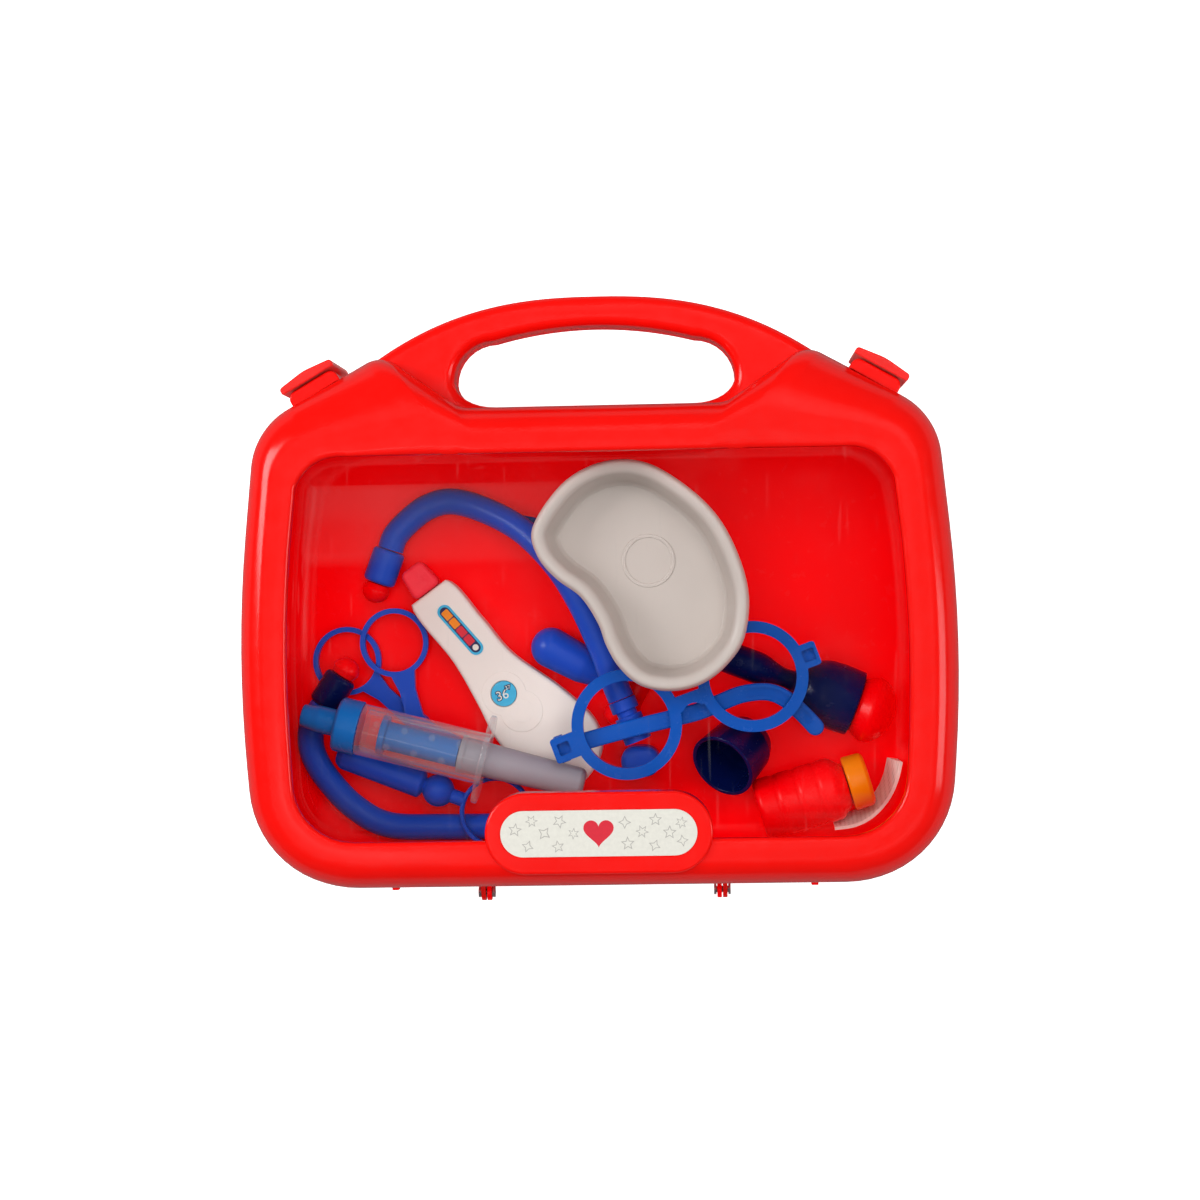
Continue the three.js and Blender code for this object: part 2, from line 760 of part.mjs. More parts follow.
// Hinge pins, with a head outside each ear
const hinge_pin_half = hinge_side_gap / 2 + hinge_ear_thickness + seat_gap;
hinge_places.forEach((place, i) => {
  const side = i === 0 ? 'left' : 'right';
  const shank_length = 2 * hinge_pin_half + hinge_pin_head_length;
  const shank = pinAlongX(hinge_pin_radius, shank_length, place, hinge_y, hinge_z);
  const heads = [-1, 1].map((end) => pinAlongX(hinge_pin_head_radius, hinge_pin_head_length,
    place + end * (hinge_pin_half + hinge_pin_head_length / 2), hinge_y, hinge_z));
  piece(`hinge_pin_${side}`, join(shank, ...heads), steel);
});

// Latches: a crowned plate with a barrel on a pin between the lugs of the rear shell
const latch_half = latch_length / 2;
const latch_outer = latch_wall_gap + latch_thickness;
const latch_points = [
  ...rounded([
    [-latch_half, latch_wall_gap, latch_bead], [latch_half, latch_wall_gap, latch_bead],
    [latch_half, latch_outer, latch_thickness / 2], [0, latch_outer + latch_crown, latch_length],
    [-latch_half, latch_outer, latch_thickness / 2],
  ], 4),
];
const lug_inner = latch_lug_places[1] - latch_lug_thickness / 2 - latch_lug_gap;

for (const [side, sign] of [['left', -1], ['right', 1]]) {
  const mount = new THREE.Group();
  mount.position.set(sign * latch_x, latch_y, 0);
  mount.rotation.z = -sign * shoulder_slope;
  case_group.add(mount);
  const plate = slab(latch_points, latch_top - latch_bottom, latch_bottom);
  const barrel = pinAlongX(latch_barrel_radius, 2 * lug_inner, 0, latch_pin_proud, latch_pin_height);
  const neck = box(-lug_inner, lug_inner, latch_pin_proud, latch_wall_gap + overrun / 2,
    latch_pin_height - latch_lug_radius, latch_pin_height + latch_lug_radius);
  const hole = pinAlongX(latch_pin_radius + latch_running_gap, latch_length, 0, latch_pin_proud,
    latch_pin_height);
  const bead = pinAlongX(latch_bead, 2 * lug_inner, 0, latch_wall_gap + latch_bead / 2, latch_bead_height, 8);
  const bead_room = boss_proud + seat_gap;
  const bead_keep = box(-latch_half, latch_half, bead_room, latch_outer, latch_bottom, latch_top);
  const plate_with_bead = geometryOf(solid(plate).add(solid(bead).intersect(solid(bead_keep)))
    .add(solid(barrel)).add(solid(neck)).subtract(solid(hole)));
  piece(`latch_${side}`, plate_with_bead, red_shell, mount);
  const pin_half = latch_lug_places[1] + latch_lug_thickness / 2;
  piece(`latch_pin_${side}`, pinAlongX(latch_pin_radius, 2 * pin_half, 0, latch_pin_proud, latch_pin_height),
    steel, mount);
}

// Places inside the case are shares of the window: of its half width at that height, and of the way up
const window_rise = window_top - window_bottom;
const widest_share = (body_widest_height - window_bottom) / window_rise;

function windowReach(up) {
  const below = THREE.MathUtils.clamp(up / widest_share, 0, 1);
  const above = THREE.MathUtils.clamp((up - widest_share) / (1 - widest_share), 0, 1);
  const low = THREE.MathUtils.lerp(window_foot_half_width, window_half_width, below);
  return low + (window_head_half_width - window_half_width) * above;
}

function at([across, up], height) {
  return new THREE.Vector3(across * windowReach(up), window_bottom + up * window_rise, height);
}

function step(from, to, length) {
  return from.clone().addScaledVector(to.clone().sub(from).normalize(), length);
}

// Stethoscope: two moulded arms from one yoke, each with a collar and an ear tip
const upper_arm_shares = [
  [-0.758, 0.768], [-0.742, 0.806], [-0.695, 0.847], [-0.628, 0.885], [-0.54, 0.9], [-0.418, 0.873],
  [-0.279, 0.812], [-0.154, 0.713], [-0.068, 0.603], [0, 0.48], [0.035, 0.4], [0.062, 0.345],
];
const upper_arm_climb_shares = [0, 0, 0, 0, 0, 0.15, 0.5, 0.85, 1, 1, 1, 1];
const upper_arm = upper_arm_shares.map((share, i) => (
  at(share, tube_floor_height + upper_arm_climb_shares[i] * (tube_high_height - tube_floor_height))
));
piece('stethoscope_arm_upper', bar(upper_arm, tube_radius, 28), royal_blue);

const lower_arm_shares = [
  [0.25, 0.06], [0.17, 0.012], [0, -0.008], [-0.279, -0.01], [-0.58, -0.01], [-0.78, -0.002],
  [-0.9, 0.05], [-0.985, 0.125], [-1.03, 0.19], [-1.04, 0.245], [-1.025, 0.295], [-0.99, 0.335],
];
const lower_arm_climb_shares = [0, 0, 0, 0, 0, 0, 0.1, 0.35, 0.65, 0.9, 1, 1];
const lower_arm = lower_arm_shares.map((share, i) => (
  at(share, tube_floor_height + lower_arm_climb_shares[i] * (tube_end_height - tube_floor_height))
));
piece('stethoscope_arm_lower', bar(lower_arm, tube_radius, 30), royal_blue);

function collarProfile(radius, length) {
  const lip = radius / 10;
  return [
    [0, 0], [radius - lip, 0], [radius, lip], [radius, length - lip], [radius - lip, length], [0, length],
  ];
}

function tipProfile(radius, length) {
  const dome = [[0, 0], [radius * 0.8, 0]];
  for (let i = 0; i <= 5; i += 1) {
    const turn = Math.PI / 2 * i / 5;
    dome.push([radius * Math.cos(turn), length / 3 + 2 / 3 * length * Math.sin(turn)]);
  }
  dome[dome.length - 1][0] = 0;
  return dome;
}

// From the end of an arm, straight on in the direction that leads there from `before`
function collarAndTip(names, before, arm_end, finishes) {
  const onward = arm_end.clone().sub(before).normalize();
  const start = arm_end.clone().addScaledVector(onward, seat_gap);
  const tip_start = start.clone().addScaledVector(onward, collar_length + seat_gap);
  piece(names[0], turnedAlong(collarProfile(collar_radius, collar_length), start, tip_start), finishes[0]);
  piece(names[1], turnedAlong(tipProfile(ear_tip_radius, ear_tip_length), tip_start,
    tip_start.clone().add(onward)), finishes[1]);
}

const lift = spot(0, 0, collar_radius - tube_radius);
collarAndTip(['stethoscope_collar_upper', 'stethoscope_ear_tip_upper'], upper_arm[1].clone().add(lift),
  upper_arm[0].clone().add(lift), [royal_blue, deep_red]);
collarAndTip(['stethoscope_collar_lower', 'stethoscope_ear_tip_lower'], lower_arm.at(-2), lower_arm.at(-1),
  [navy, deep_red]);

const yoke_aim = upper_arm.at(-1).clone().multiplyScalar(2).sub(upper_arm.at(-2));
const yoke_start = step(upper_arm.at(-1), yoke_aim, seat_gap);
const yoke_end = step(upper_arm.at(-1), yoke_aim, seat_gap + yoke_length);
const yoke_profile = [[0, 0], [tube_radius, 0]];
for (let i = 0; i < 3; i += 1) {
  const share = (i + 0.35) / 3;
  yoke_profile.push([tube_radius, share * yoke_length], [yoke_depth / 2, (share + 0.03) * yoke_length],
    [yoke_depth / 2, (share + 0.15) * yoke_length], [tube_radius, (share + 0.18) * yoke_length]);
}
yoke_profile.push([tube_radius, yoke_length], [0, yoke_length]);
piece('stethoscope_yoke', turnedAlong(yoke_profile, yoke_start, yoke_end, 16), royal_blue);

const stem_middle = at([0.123, 0.169], 0);
const stem_top = tube_high_height - yoke_depth / 2 - seat_gap;
const stem_corners = [[-1, -1], [1, -1], [1, 1], [-1, 1]].map(([side, end]) => [
  stem_middle.x + side * stem_box_width / 2, stem_middle.y + end * stem_box_length / 2, stem_corner_radius,
]);
piece('stethoscope_stem', eased(rounded(stem_corners, 3), stem_top - floor_height, floor_height, stem_edge),
  royal_blue);

// Thermometer: two shells, a soft tip, a scale and a dial that turns
const thermometer_shares = [
  [-0.672, 0.612], [-0.554, 0.681], [-0.425, 0.575], [-0.319, 0.475], [-0.15, 0.375], [-0.035, 0.285],
  [-0.012, 0.2], [-0.07, 0.12], [-0.16, 0.09], [-0.27, 0.135], [-0.38, 0.232], [-0.445, 0.335], [-0.525, 0.452],
];
const thermometer_places = [...thermometer_shares, thermometer_shares[0]].map((share) => at(share, 0));
const thermometer_curve = new THREE.SplineCurve(
  thermometer_places.map(({ x, y }) => new THREE.Vector2(x, y)),
);
// The end that carries the tip is straight, so no point is added there
const thermometer_points = thermometer_shares.flatMap((share, i) => {
  const halves = i < 2 ? [i] : [i, i + 0.5];
  return halves.map((place) => thermometer_curve.getPoint(place / thermometer_shares.length));
}).reverse();
const half_thickness = thermometer_thickness / 2;
const dial_place = at([-0.35, 0.362], 0);
const dial_recess = slab(circle(thermometer_dial_radius + seat_gap, 20, dial_place.x, dial_place.y),
  thermometer_recess + overrun, floor_height + thermometer_thickness - thermometer_recess);
const back_half_shell = eased(thermometer_points, half_thickness, floor_height, thermometer_edge);
piece('thermometer_back', back_half_shell, warm_white);
const front_blank = back_half_shell.clone().translate(0, 0, half_thickness);
piece('thermometer_front', cut(front_blank, dial_recess), warm_white);
const dial_disc = slab(circle(thermometer_dial_radius, 20), thermometer_dial_thickness);
const dial_mesh = piece('thermometer_dial', dial_disc, dial_blue);
dial_mesh.position.set(dial_place.x, dial_place.y, floor_height + thermometer_thickness - thermometer_recess);

const scale_shares = [[-0.582, 0.617], [-0.415, 0.465]];
const [scale_from, scale_to] = scale_shares.map((share) => at(share, 0));
const scale_middle = scale_from.clone().lerp(scale_to, 0.5);
const scale_turn = Math.atan2(scale_to.y - scale_from.y, scale_to.x - scale_from.x);
const scale_outline = stadium(thermometer_scale_length / 2, thermometer_scale_width, 0);
const scale_mesh = piece('thermometer_scale', slab(scale_outline, thermometer_scale_thickness), orange);
scale_mesh.position.set(scale_middle.x, scale_middle.y, floor_height + thermometer_thickness);
scale_mesh.rotation.z = scale_turn;

// The tip starts at the middle of the straight end and points away from the scale
const [end_left, end_right] = thermometer_shares.slice(0, 2).map((share) => at(share, 0));
const tip_root = end_left.clone().lerp(end_right, 0.5);
const tip_half_width = thermometer_tip_width / 2;
const tip_nose_half_width = tip_half_width * tip_nose_share;
const tip_mesh = piece('thermometer_tip', eased(rounded([
  [seat_gap, -tip_half_width, 2 * tip_edge], [seat_gap, tip_half_width, 2 * tip_edge],
  [thermometer_tip_length, tip_nose_half_width, tip_nose_radius],
  [thermometer_tip_length, -tip_nose_half_width, tip_nose_radius],
].reverse()), thermometer_thickness - 2 * seat_gap, seat_gap, tip_edge), deep_red);
tip_mesh.position.set(tip_root.x, tip_root.y, floor_height);
tip_mesh.rotation.z = Math.atan2(end_right.y - end_left.y, end_right.x - end_left.x) + Math.PI / 2;

// Syringe, lying across the thermometer's foot: barrel and flange, nozzle collar, piston and rod
const syringe = new THREE.Group();
const syringe_nose = at([-1.045, 0.317], syringe_height);
syringe.position.copy(syringe_nose);
syringe.rotation.z = -radians(syringe_tilt);
case_group.add(syringe);

// Drawn along X from the nozzle's mouth
function alongX(profile, facets = fine_facets) {
  return turned(profile, facets).rotateY(Math.PI / 2);
}

const collar_start = nozzle_length;
const barrel_start = collar_start + collar_cap_length + seat_gap;
const barrel_end = barrel_start + barrel_length;
const collar_edge = collar_cap_radius / 12;
piece('syringe_nozzle', alongX([
  [0, 0], [nozzle_radius * 0.8, 0], [nozzle_radius, nozzle_length / 2], [nozzle_radius, collar_start],
  [collar_cap_radius - collar_edge, collar_start], [collar_cap_radius, collar_start + collar_edge],
  [collar_cap_radius, collar_start + collar_cap_length], [0, collar_start + collar_cap_length],
]), bright_blue, syringe);
const barrel_tube = alongX([
  [0, barrel_start], [barrel_radius, barrel_start], [barrel_radius, barrel_end], [barrel_bore, barrel_end],
  [barrel_bore, barrel_start + barrel_floor], [0, barrel_start + barrel_floor],
]);
const flange_points = circle(1, fine_facets).map((p) => (
  new THREE.Vector2(p.x * flange_half_depth, p.y * flange_half_height)
));
const flange_hole = circle(barrel_bore, fine_facets);
const flange = slab(flange_points, flange_thickness, barrel_end - flange_thickness, [flange_hole])
  .rotateY(Math.PI / 2);
piece('syringe_barrel', join(barrel_tube, flange), clear_sheet, syringe);
const piston_start = barrel_start + barrel_floor + plunger_reach;
const piston_end = piston_start + piston_length;
piece('syringe_piston', alongX([
  [0, piston_start], [barrel_bore - 2 * seat_gap, piston_start],
  [barrel_bore - 2 * seat_gap, piston_start + plunger_thumb_length],
  [piston_radius, piston_start + plunger_thumb_length], [piston_radius, piston_end], [0, piston_end],
], round_facets), bright_blue, syringe);
const rod_start = piston_end + seat_gap;
const rod_end = rod_start + plunger_length;
piece('syringe_rod', alongX([
  [0, rod_start], [plunger_radius, rod_start], [plunger_radius, rod_end - plunger_thumb_length],
  [plunger_thumb_radius, rod_end - plunger_thumb_length], [plunger_thumb_radius, rod_end], [0, rod_end],
], round_facets), rod_grey, syringe);

// Scissors: two halves crossing on a pin, loops up the picture
const scissor_pivot = at([-0.664, 0.276], floor_height);
const scissor_tip_share = [-0.413, 0.181];

function scissorHalf(loop_share, side) {
  const loop = at(loop_share, floor_height).sub(scissor_pivot);
  const turn = Math.atan2(loop.y, loop.x);
  const length = Math.hypot(loop.x, loop.y);
  const ring = slab(circle(loop_radius, fine_facets, length), blade_thickness, 0,
    [circle(loop_radius - loop_wire, fine_facets, length)]);
  const shank_end = length - loop_radius + loop_wire / 2;
  const shank = slab([
    new THREE.Vector2(-blade_width / 2, -blade_width / 2), new THREE.Vector2(shank_end, -blade_width / 3),
    new THREE.Vector2(shank_end, blade_width / 3), new THREE.Vector2(-blade_width / 2, blade_width / 2),
  ], blade_thickness);
  const tip = at(scissor_tip_share, floor_height).sub(scissor_pivot);
  const blade_turn = Math.atan2(tip.y, tip.x) - turn;
  const tip_middle = side * blade_width / 6;
  const tip_half = blade_width / 12;
  const blade = slab([
    new THREE.Vector2(0, -blade_width / 2), new THREE.Vector2(blade_reach, tip_middle - tip_half),
    new THREE.Vector2(blade_reach, tip_middle + tip_half), new THREE.Vector2(0, blade_width / 2),
  ], blade_thickness).rotateZ(blade_turn);
  const eye = slab(circle(blade_width / 2 + loop_wire / 2), blade_thickness);
  const hole = slab(circle(scissor_pin_radius + scissor_pin_gap), blade_thickness + 2 * overrun, -overrun);
  return cut(join(ring, shank, blade, eye), hole).rotateZ(turn);
}

const scissors = new THREE.Group();
scissors.position.copy(scissor_pivot);
case_group.add(scissors);
piece('scissor_half_lower', scissorHalf([-0.908, 0.458], -1), royal_blue, scissors);
piece('scissor_half_upper', scissorHalf([-0.736, 0.508], 1).translate(0, 0, blade_thickness + seat_gap),
  royal_blue, scissors);
piece('scissor_pin', turned([
  [0, 0], [scissor_pin_radius, 0], [scissor_pin_radius, 2 * blade_thickness + 2 * seat_gap],
  [2 * scissor_pin_radius, 2 * blade_thickness + 2 * seat_gap],
  [1.6 * scissor_pin_radius, 2 * blade_thickness + 4 * seat_gap], [0, 2 * blade_thickness + 4 * seat_gap],
], 16), royal_blue, scissors);

// Glasses, face up on the syringe's rod, one temple folded under them
const left_lens = at([0.084, 0.28], glasses_height);
const right_lens = at([0.512, 0.404], glasses_height);
const lens_pitch = Math.hypot(right_lens.x - left_lens.x, right_lens.y - left_lens.y);
const glasses = new THREE.Group();
glasses.position.copy(left_lens);
glasses.rotation.z = Math.atan2(right_lens.y - left_lens.y, right_lens.x - left_lens.x);
case_group.add(glasses);

const rim_outer = lens_radius;
const rim_inner = lens_radius - rim_width;
const lug_middle = rim_outer + lug_length / 2 - rim_width / 2;
const temple_line = 0;

function ringBlank(x) {
  return slab(circle(rim_outer, fine_facets, x), rim_depth);
}

function lensHole(x) {
  return slab(circle(rim_inner, fine_facets, x), rim_depth + 2 * overrun, -overrun);
}

const bridge = box(rim_outer - rim_width / 2, lens_pitch - rim_outer + rim_width / 2,
  -bridge_width / 2, bridge_width / 2, 0, rim_depth);
const bridge_arch = slab(circle(bridge_notch_radius, 16, lens_pitch / 2, -bridge_width),
  rim_depth + 2 * overrun, -overrun);
const lugs = [[-lug_middle, temple_line], [lens_pitch + lug_middle, -temple_line]];
const lug_blanks = lugs.map(([x, y]) => box(x - lug_length / 2, x + lug_length / 2,
  y - lug_width / 2, y + lug_width / 2, 0, rim_depth));
const lug_holes = lugs.map(([x, y]) => {
  const middle = x + Math.sign(x - lens_pitch / 2) * rim_width / 4;
  return box(middle - lug_hole / 2, middle + lug_hole / 2, y - lug_hole / 2, y + lug_hole / 2,
    -overrun, rim_depth + overrun);
});
const temple_axis_x = -lug_middle - lug_hole / 2;
const temple_axis_z = -seat_gap - temple_depth / 2;
const knuckle_inner = temple_width / 2 + temple_end_gap;

function knuckle(sign) {
  const from = temple_line + (sign > 0 ? knuckle_inner : -knuckle_inner - knuckle_width);
  const half = temple_depth / 2;
  return box(temple_axis_x - half, temple_axis_x + half, from, from + knuckle_width, temple_axis_z - half,
    overrun);
}

function pinAlongY(radius, length, x, y, z, facets = 16) {
  return clean(new THREE.CylinderGeometry(radius, radius, length, facets).translate(x, y, z));
}

const temple_hole = pinAlongY(temple_pin_radius + hinge_running_gap, 3 * temple_width, temple_axis_x,
  temple_line, temple_axis_z);
piece('glasses_front', cut(
  join(ringBlank(0), ringBlank(lens_pitch), bridge, ...lug_blanks, knuckle(1), knuckle(-1)),
  lensHole(0), lensHole(lens_pitch), bridge_arch, ...lug_holes, temple_hole,
), bright_blue, glasses);
piece('glasses_temple_pin', pinAlongY(temple_pin_radius, 2 * (knuckle_inner + knuckle_width), temple_axis_x,
  temple_line, temple_axis_z), bright_blue, glasses);

// A flat strip of even width along open points, round at its far end
function ribbon(points, width, end_steps = 6) {
  const left = [];
  const right = [];
  points.forEach((point, i) => {
    const before = points[Math.max(i - 1, 0)];
    const after = points[Math.min(i + 1, points.length - 1)];
    const along = after.clone().sub(before).normalize().multiplyScalar(width / 2);
    left.push(new THREE.Vector2(point.x - along.y, point.y + along.x));
    right.push(new THREE.Vector2(point.x + along.y, point.y - along.x));
  });
  const last = points.at(-1);
  const aim = last.clone().sub(points.at(-2)).angle();
  const end = Array.from({ length: end_steps - 1 }, (_, i) => {
    const angle = aim - Math.PI / 2 + Math.PI * (i + 1) / end_steps;
    return new THREE.Vector2(last.x + width / 2 * Math.cos(angle), last.y + width / 2 * Math.sin(angle));
  });
  return [...right, ...end, ...left.reverse()];
}

// Shares of the distance between the lenses, along and across it
const temple_shares = [
  [-0.42, 0], [0.3, 0], [0.66, 0], [0.78, 0.012], [0.88, 0.035], [0.97, 0.03], [1.07, -0.02],
  [1.15, -0.11], [1.21, -0.24], [1.27, -0.4], [1.3, -0.52],
];
const temple_path = new THREE.SplineCurve(temple_shares.map(([x, y]) => (
  new THREE.Vector2(x * lens_pitch, temple_line + y * lens_pitch)
))).getPoints(26);

function templeBlank() {
  const half = temple_width / 2;
  const low = temple_axis_z - temple_depth / 2;
  const strip = box(temple_axis_x, temple_path[0].x + overrun, temple_line - half, temple_line + half, low,
    low + temple_depth);
  const barrel = pinAlongY(temple_depth / 2, temple_width, temple_axis_x, temple_line, temple_axis_z);
  return join(slab(ribbon(temple_path, temple_width), temple_depth, low), strip, barrel);
}

piece('glasses_temple_left', cut(templeBlank(), temple_hole), bright_blue, glasses);
// The other temple has come off and lies on the floor, under the dish
const loose_blank = templeBlank().translate(-temple_axis_x, 0, temple_depth / 2 - temple_axis_z);
const loose_temple = piece('glasses_temple_right', loose_blank, bright_blue);
loose_temple.position.copy(at([-0.313, 0.839], floor_height));
loose_temple.rotation.z = radians(loose_temple_turn);

// Kidney dish: an outline of its rim, drawn in towards the foot
const dish_shares = [
  [-0.217, 0.811], [-0.131, 0.913], [-0.03, 0.968], [0.09, 0.988], [0.213, 0.965], [0.361, 0.879],
  [0.45, 0.78], [0.503, 0.64], [0.485, 0.515], [0.425, 0.44], [0.34, 0.39], [0.24, 0.373], [0.14, 0.388],
  [0.07, 0.435],
  [0.026, 0.495], [0, 0.554], [-0.056, 0.625], [-0.138, 0.675], [-0.2, 0.735],
];
const dish_curve = new THREE.CatmullRomCurve3(dish_shares.map((share) => at(share, 0)), true, 'centripetal');
const dish_rim_outline = dish_curve.getPoints(38).slice(1).map((p) => new THREE.Vector2(p.x, p.y)).reverse();
const dish_foot = inset(dish_rim_outline, dish_rim + dish_slope);
const dish_waist = inset(dish_rim_outline, dish_rim + dish_wall);
const dish_rings = [
  level(dish_foot, dish_height_above),
  level(inset(dish_rim_outline, dish_rim + dish_wall / 2), dish_height_above + dish_height - dish_rim),
  level(inset(dish_rim_outline, dish_wall), dish_height_above + dish_height - dish_rim / 2),
  level(dish_rim_outline, dish_height_above + dish_height - dish_rim),
  level(inset(dish_rim_outline, dish_wall / 4), dish_height_above + dish_height - dish_wall),
  level(inset(dish_rim_outline, dish_rim / 2), dish_height_above + dish_height),
  level(inset(dish_waist, dish_wall / 2), dish_height_above + dish_height - dish_wall),
  level(inset(dish_foot, dish_wall), dish_height_above + 2 * dish_wall),
  level(inset(dish_foot, 2 * dish_wall), dish_height_above + dish_wall),
];
const dish_middle = at([0.17, 0.72], dish_height_above);
const dish_mark = slab(circle(dish_ring_radius, fine_facets, dish_middle.x, dish_middle.y),
  dish_wall / 2 + dish_ring_height, dish_height_above + dish_wall / 2,
  [circle(dish_ring_radius - dish_ring_width, fine_facets, dish_middle.x, dish_middle.y)]);
piece('kidney_dish', join(skin(dish_rings, false), dish_mark), dish_grey);

// Reflex hammer: a fat round handle and a head across its end
const hammer_axis = floor_height + hammer_handle_radius;
const hammer_from = at([-0.245, 0.514], hammer_axis);
const hammer_to = at([0.045, 0.385], hammer_axis);
const hammer_run = hammer_from.distanceTo(hammer_to);
const hammer_profile = [[0, 0]];
for (let i = 1; i <= 5; i += 1) {
  const turn = Math.PI / 2 * i / 5;
  hammer_profile.push([hammer_handle_radius * Math.sin(turn), hammer_handle_radius * (1 - Math.cos(turn))]);
}
const neck_end = hammer_run - seat_gap;
hammer_profile.push([hammer_handle_radius * 0.92, hammer_run * 0.6], [hammer_neck_radius, neck_end],
  [0, neck_end]);
piece('hammer_handle', turnedAlong(hammer_profile, hammer_from, hammer_to, round_facets), royal_blue);
const hammer_aim = hammer_to.clone().sub(hammer_from).normalize();
const head_across = hammer_aim.clone().applyAxisAngle(spot(0, 0, 1), Math.PI / 2);
const head_low = hammer_to.clone().addScaledVector(hammer_aim, hammer_head_radius)
  .setZ(floor_height + hammer_head_radius);
const head_waist_radius = hammer_neck_radius * 1.3;
const half_head = [
  [head_waist_radius, hammer_head_length * 0.25], [hammer_head_radius, hammer_head_length * 0.6],
  [hammer_head_radius * 0.9, hammer_head_length * 0.85], [hammer_head_radius * 0.6, hammer_head_length],
  [0, hammer_head_length],
];
const head_profile = [...half_head.map(([radius, place]) => [radius, -place]).reverse(), ...half_head];
piece('hammer_head', turnedAlong(head_profile, head_low, head_low.clone().add(head_across), round_facets),
  deep_red);

// Mirror tool: handle, ball, neck and a small round frame
const mirror_from = at([-0.95, 0.205], floor_height + mirror_handle_radius + tube_radius / 2);
const mirror_to = at([-0.39, 0.034], tube_floor_height + tube_radius + mirror_ring_wire + seat_gap);
const mirror_run = mirror_from.distanceTo(mirror_to);
const mirror_ball_share = 0.64;
const mirror_ball_at = mirror_run * mirror_ball_share;
const mirror_profile = [[0, 0], [mirror_handle_radius * 0.7, mirror_handle_radius * 0.15],
  [mirror_handle_radius, mirror_handle_radius * 0.6],
  [mirror_handle_radius, mirror_ball_at - mirror_ball_radius * 1.1]];
for (let i = 1; i < 8; i += 1) {
  const turn = Math.PI * i / 8;
  const reach = mirror_ball_radius * Math.sin(turn);
  if (reach > mirror_neck_radius) {
    mirror_profile.push([reach, mirror_ball_at - mirror_ball_radius * Math.cos(turn)]);
  }
}
mirror_profile.push([mirror_neck_radius, mirror_ball_at + mirror_ball_radius],
  [mirror_neck_radius, mirror_run - mirror_ring_radius], [0, mirror_run - mirror_ring_radius]);
const [ring_outer, ring_hole] = [mirror_ring_radius + mirror_ring_wire, mirror_ring_radius].map((radius) => (
  circle(radius, round_facets, mirror_to.x, mirror_to.y)
));
const mirror_ring = slab(ring_outer, 2 * mirror_ring_wire, mirror_to.z - mirror_ring_wire, [ring_hole]);
const mirror_arm = turnedAlong(mirror_profile, mirror_from, mirror_to, round_facets);
piece('mirror_tool', join(mirror_arm, mirror_ring), royal_blue);

// Bell tool: bulb, neck and a bell whose mouth holds a red cap
const bell_axis = floor_height + bell_mouth_radius;
const bell_from = at([0.36, 0.475], bell_axis);
const bell_to = at([0.872, 0.318], bell_axis);
const bell_run = bell_from.distanceTo(bell_to);
piece('bell_tool', turnedAlong([
  [0, 0], [bell_bulb_radius * 0.7, bell_run * 0.03], [bell_bulb_radius, bell_run * 0.12],
  [bell_bulb_radius, bell_run * 0.4], [bell_bulb_radius * 0.75, bell_run * 0.48],
  [bell_neck_radius, bell_run * 0.53],
  [bell_neck_radius, bell_run * 0.6], [bell_mouth_radius * 0.75, bell_run * 0.68],
  [bell_mouth_radius, bell_run * 0.85], [bell_mouth_radius, bell_run],
  [bell_mouth_radius - bell_wall, bell_run],
  [bell_mouth_radius - bell_wall, bell_run * 0.87], [bell_mouth_radius * 0.6, bell_run * 0.74],
  [0, bell_run * 0.7],
], bell_from, bell_to, fine_facets), navy);
const bell_cap_from = step(bell_to, bell_to.clone().add(bell_to.clone().sub(bell_from)), seat_gap);
piece('bell_cap', turnedAlong(tipProfile(bell_mouth_radius, bell_cap_length), bell_cap_from,
  bell_cap_from.clone().add(bell_to.clone().sub(bell_from)), fine_facets), deep_red);

// Measuring cup, tipped over with its mouth up the picture's left
const cup_aim = at([0.43, 0.16], 0).sub(at([0.505, 0.215], 0)).normalize();
const cup_axis = spot(cup_aim.x, cup_aim.y, 1).normalize();
const cup_lean = Math.hypot(cup_axis.x, cup_axis.y);
const cup_base = at([0.505, 0.228], floor_height + cup_foot_radius * cup_lean);
piece('measuring_cup', turnedAlong([
  [0, 0], [cup_foot_radius, 0], [cup_radius * 0.9, cup_length * 0.25], [cup_radius, cup_length],
  [cup_radius - cup_wall, cup_length], [cup_radius * 0.9 - cup_wall, cup_length * 0.3],
  [cup_foot_radius - cup_wall, cup_wall], [0, cup_wall],
], cup_base, cup_base.clone().add(cup_axis), fine_facets), navy);

// Bottle with its cap, and a white band along the wall
const bottle_axis = floor_height + bottle_radius;
const bottle_from = at([0.538, 0.026], bottle_axis);
const bottle_aim = at([0.885, 0.106], bottle_axis);
const bottle_to = step(bottle_from, bottle_aim, bottle_length - bottle_cap_length);
const bottle_body = bottle_length - bottle_cap_length;
piece('bottle', turnedAlong([
  [0, 0], [bottle_radius * 0.88, 0], [bottle_radius, bottle_radius * 0.12],
  [bottle_radius, bottle_body * 0.86],
  [bottle_neck_radius, bottle_body], [0, bottle_body],
], bottle_from, bottle_to, fine_facets), deep_red);
const cap_from = step(bottle_to, bottle_aim, seat_gap);
piece('bottle_cap', turnedAlong(collarProfile(bottle_cap_radius, bottle_cap_length), cap_from,
  step(cap_from, bottle_aim, bottle_cap_length), round_facets), orange);

const band_shares = [
  [0.8, -0.02], [0.87, -0.012], [0.93, 0.012], [0.98, 0.055], [1.01, 0.105], [1.026, 0.16],
];
const band_path = new THREE.SplineCurve(band_shares.map((share) => {
  const place = at(share, 0);
  return new THREE.Vector2(place.x, place.y);
})).getPoints(14);
const band_low = floor_height + 2 * seat_gap;
piece('bandage_strip', slab(ribbon(band_path, band_thickness, 2), band_width, band_low), label_white);

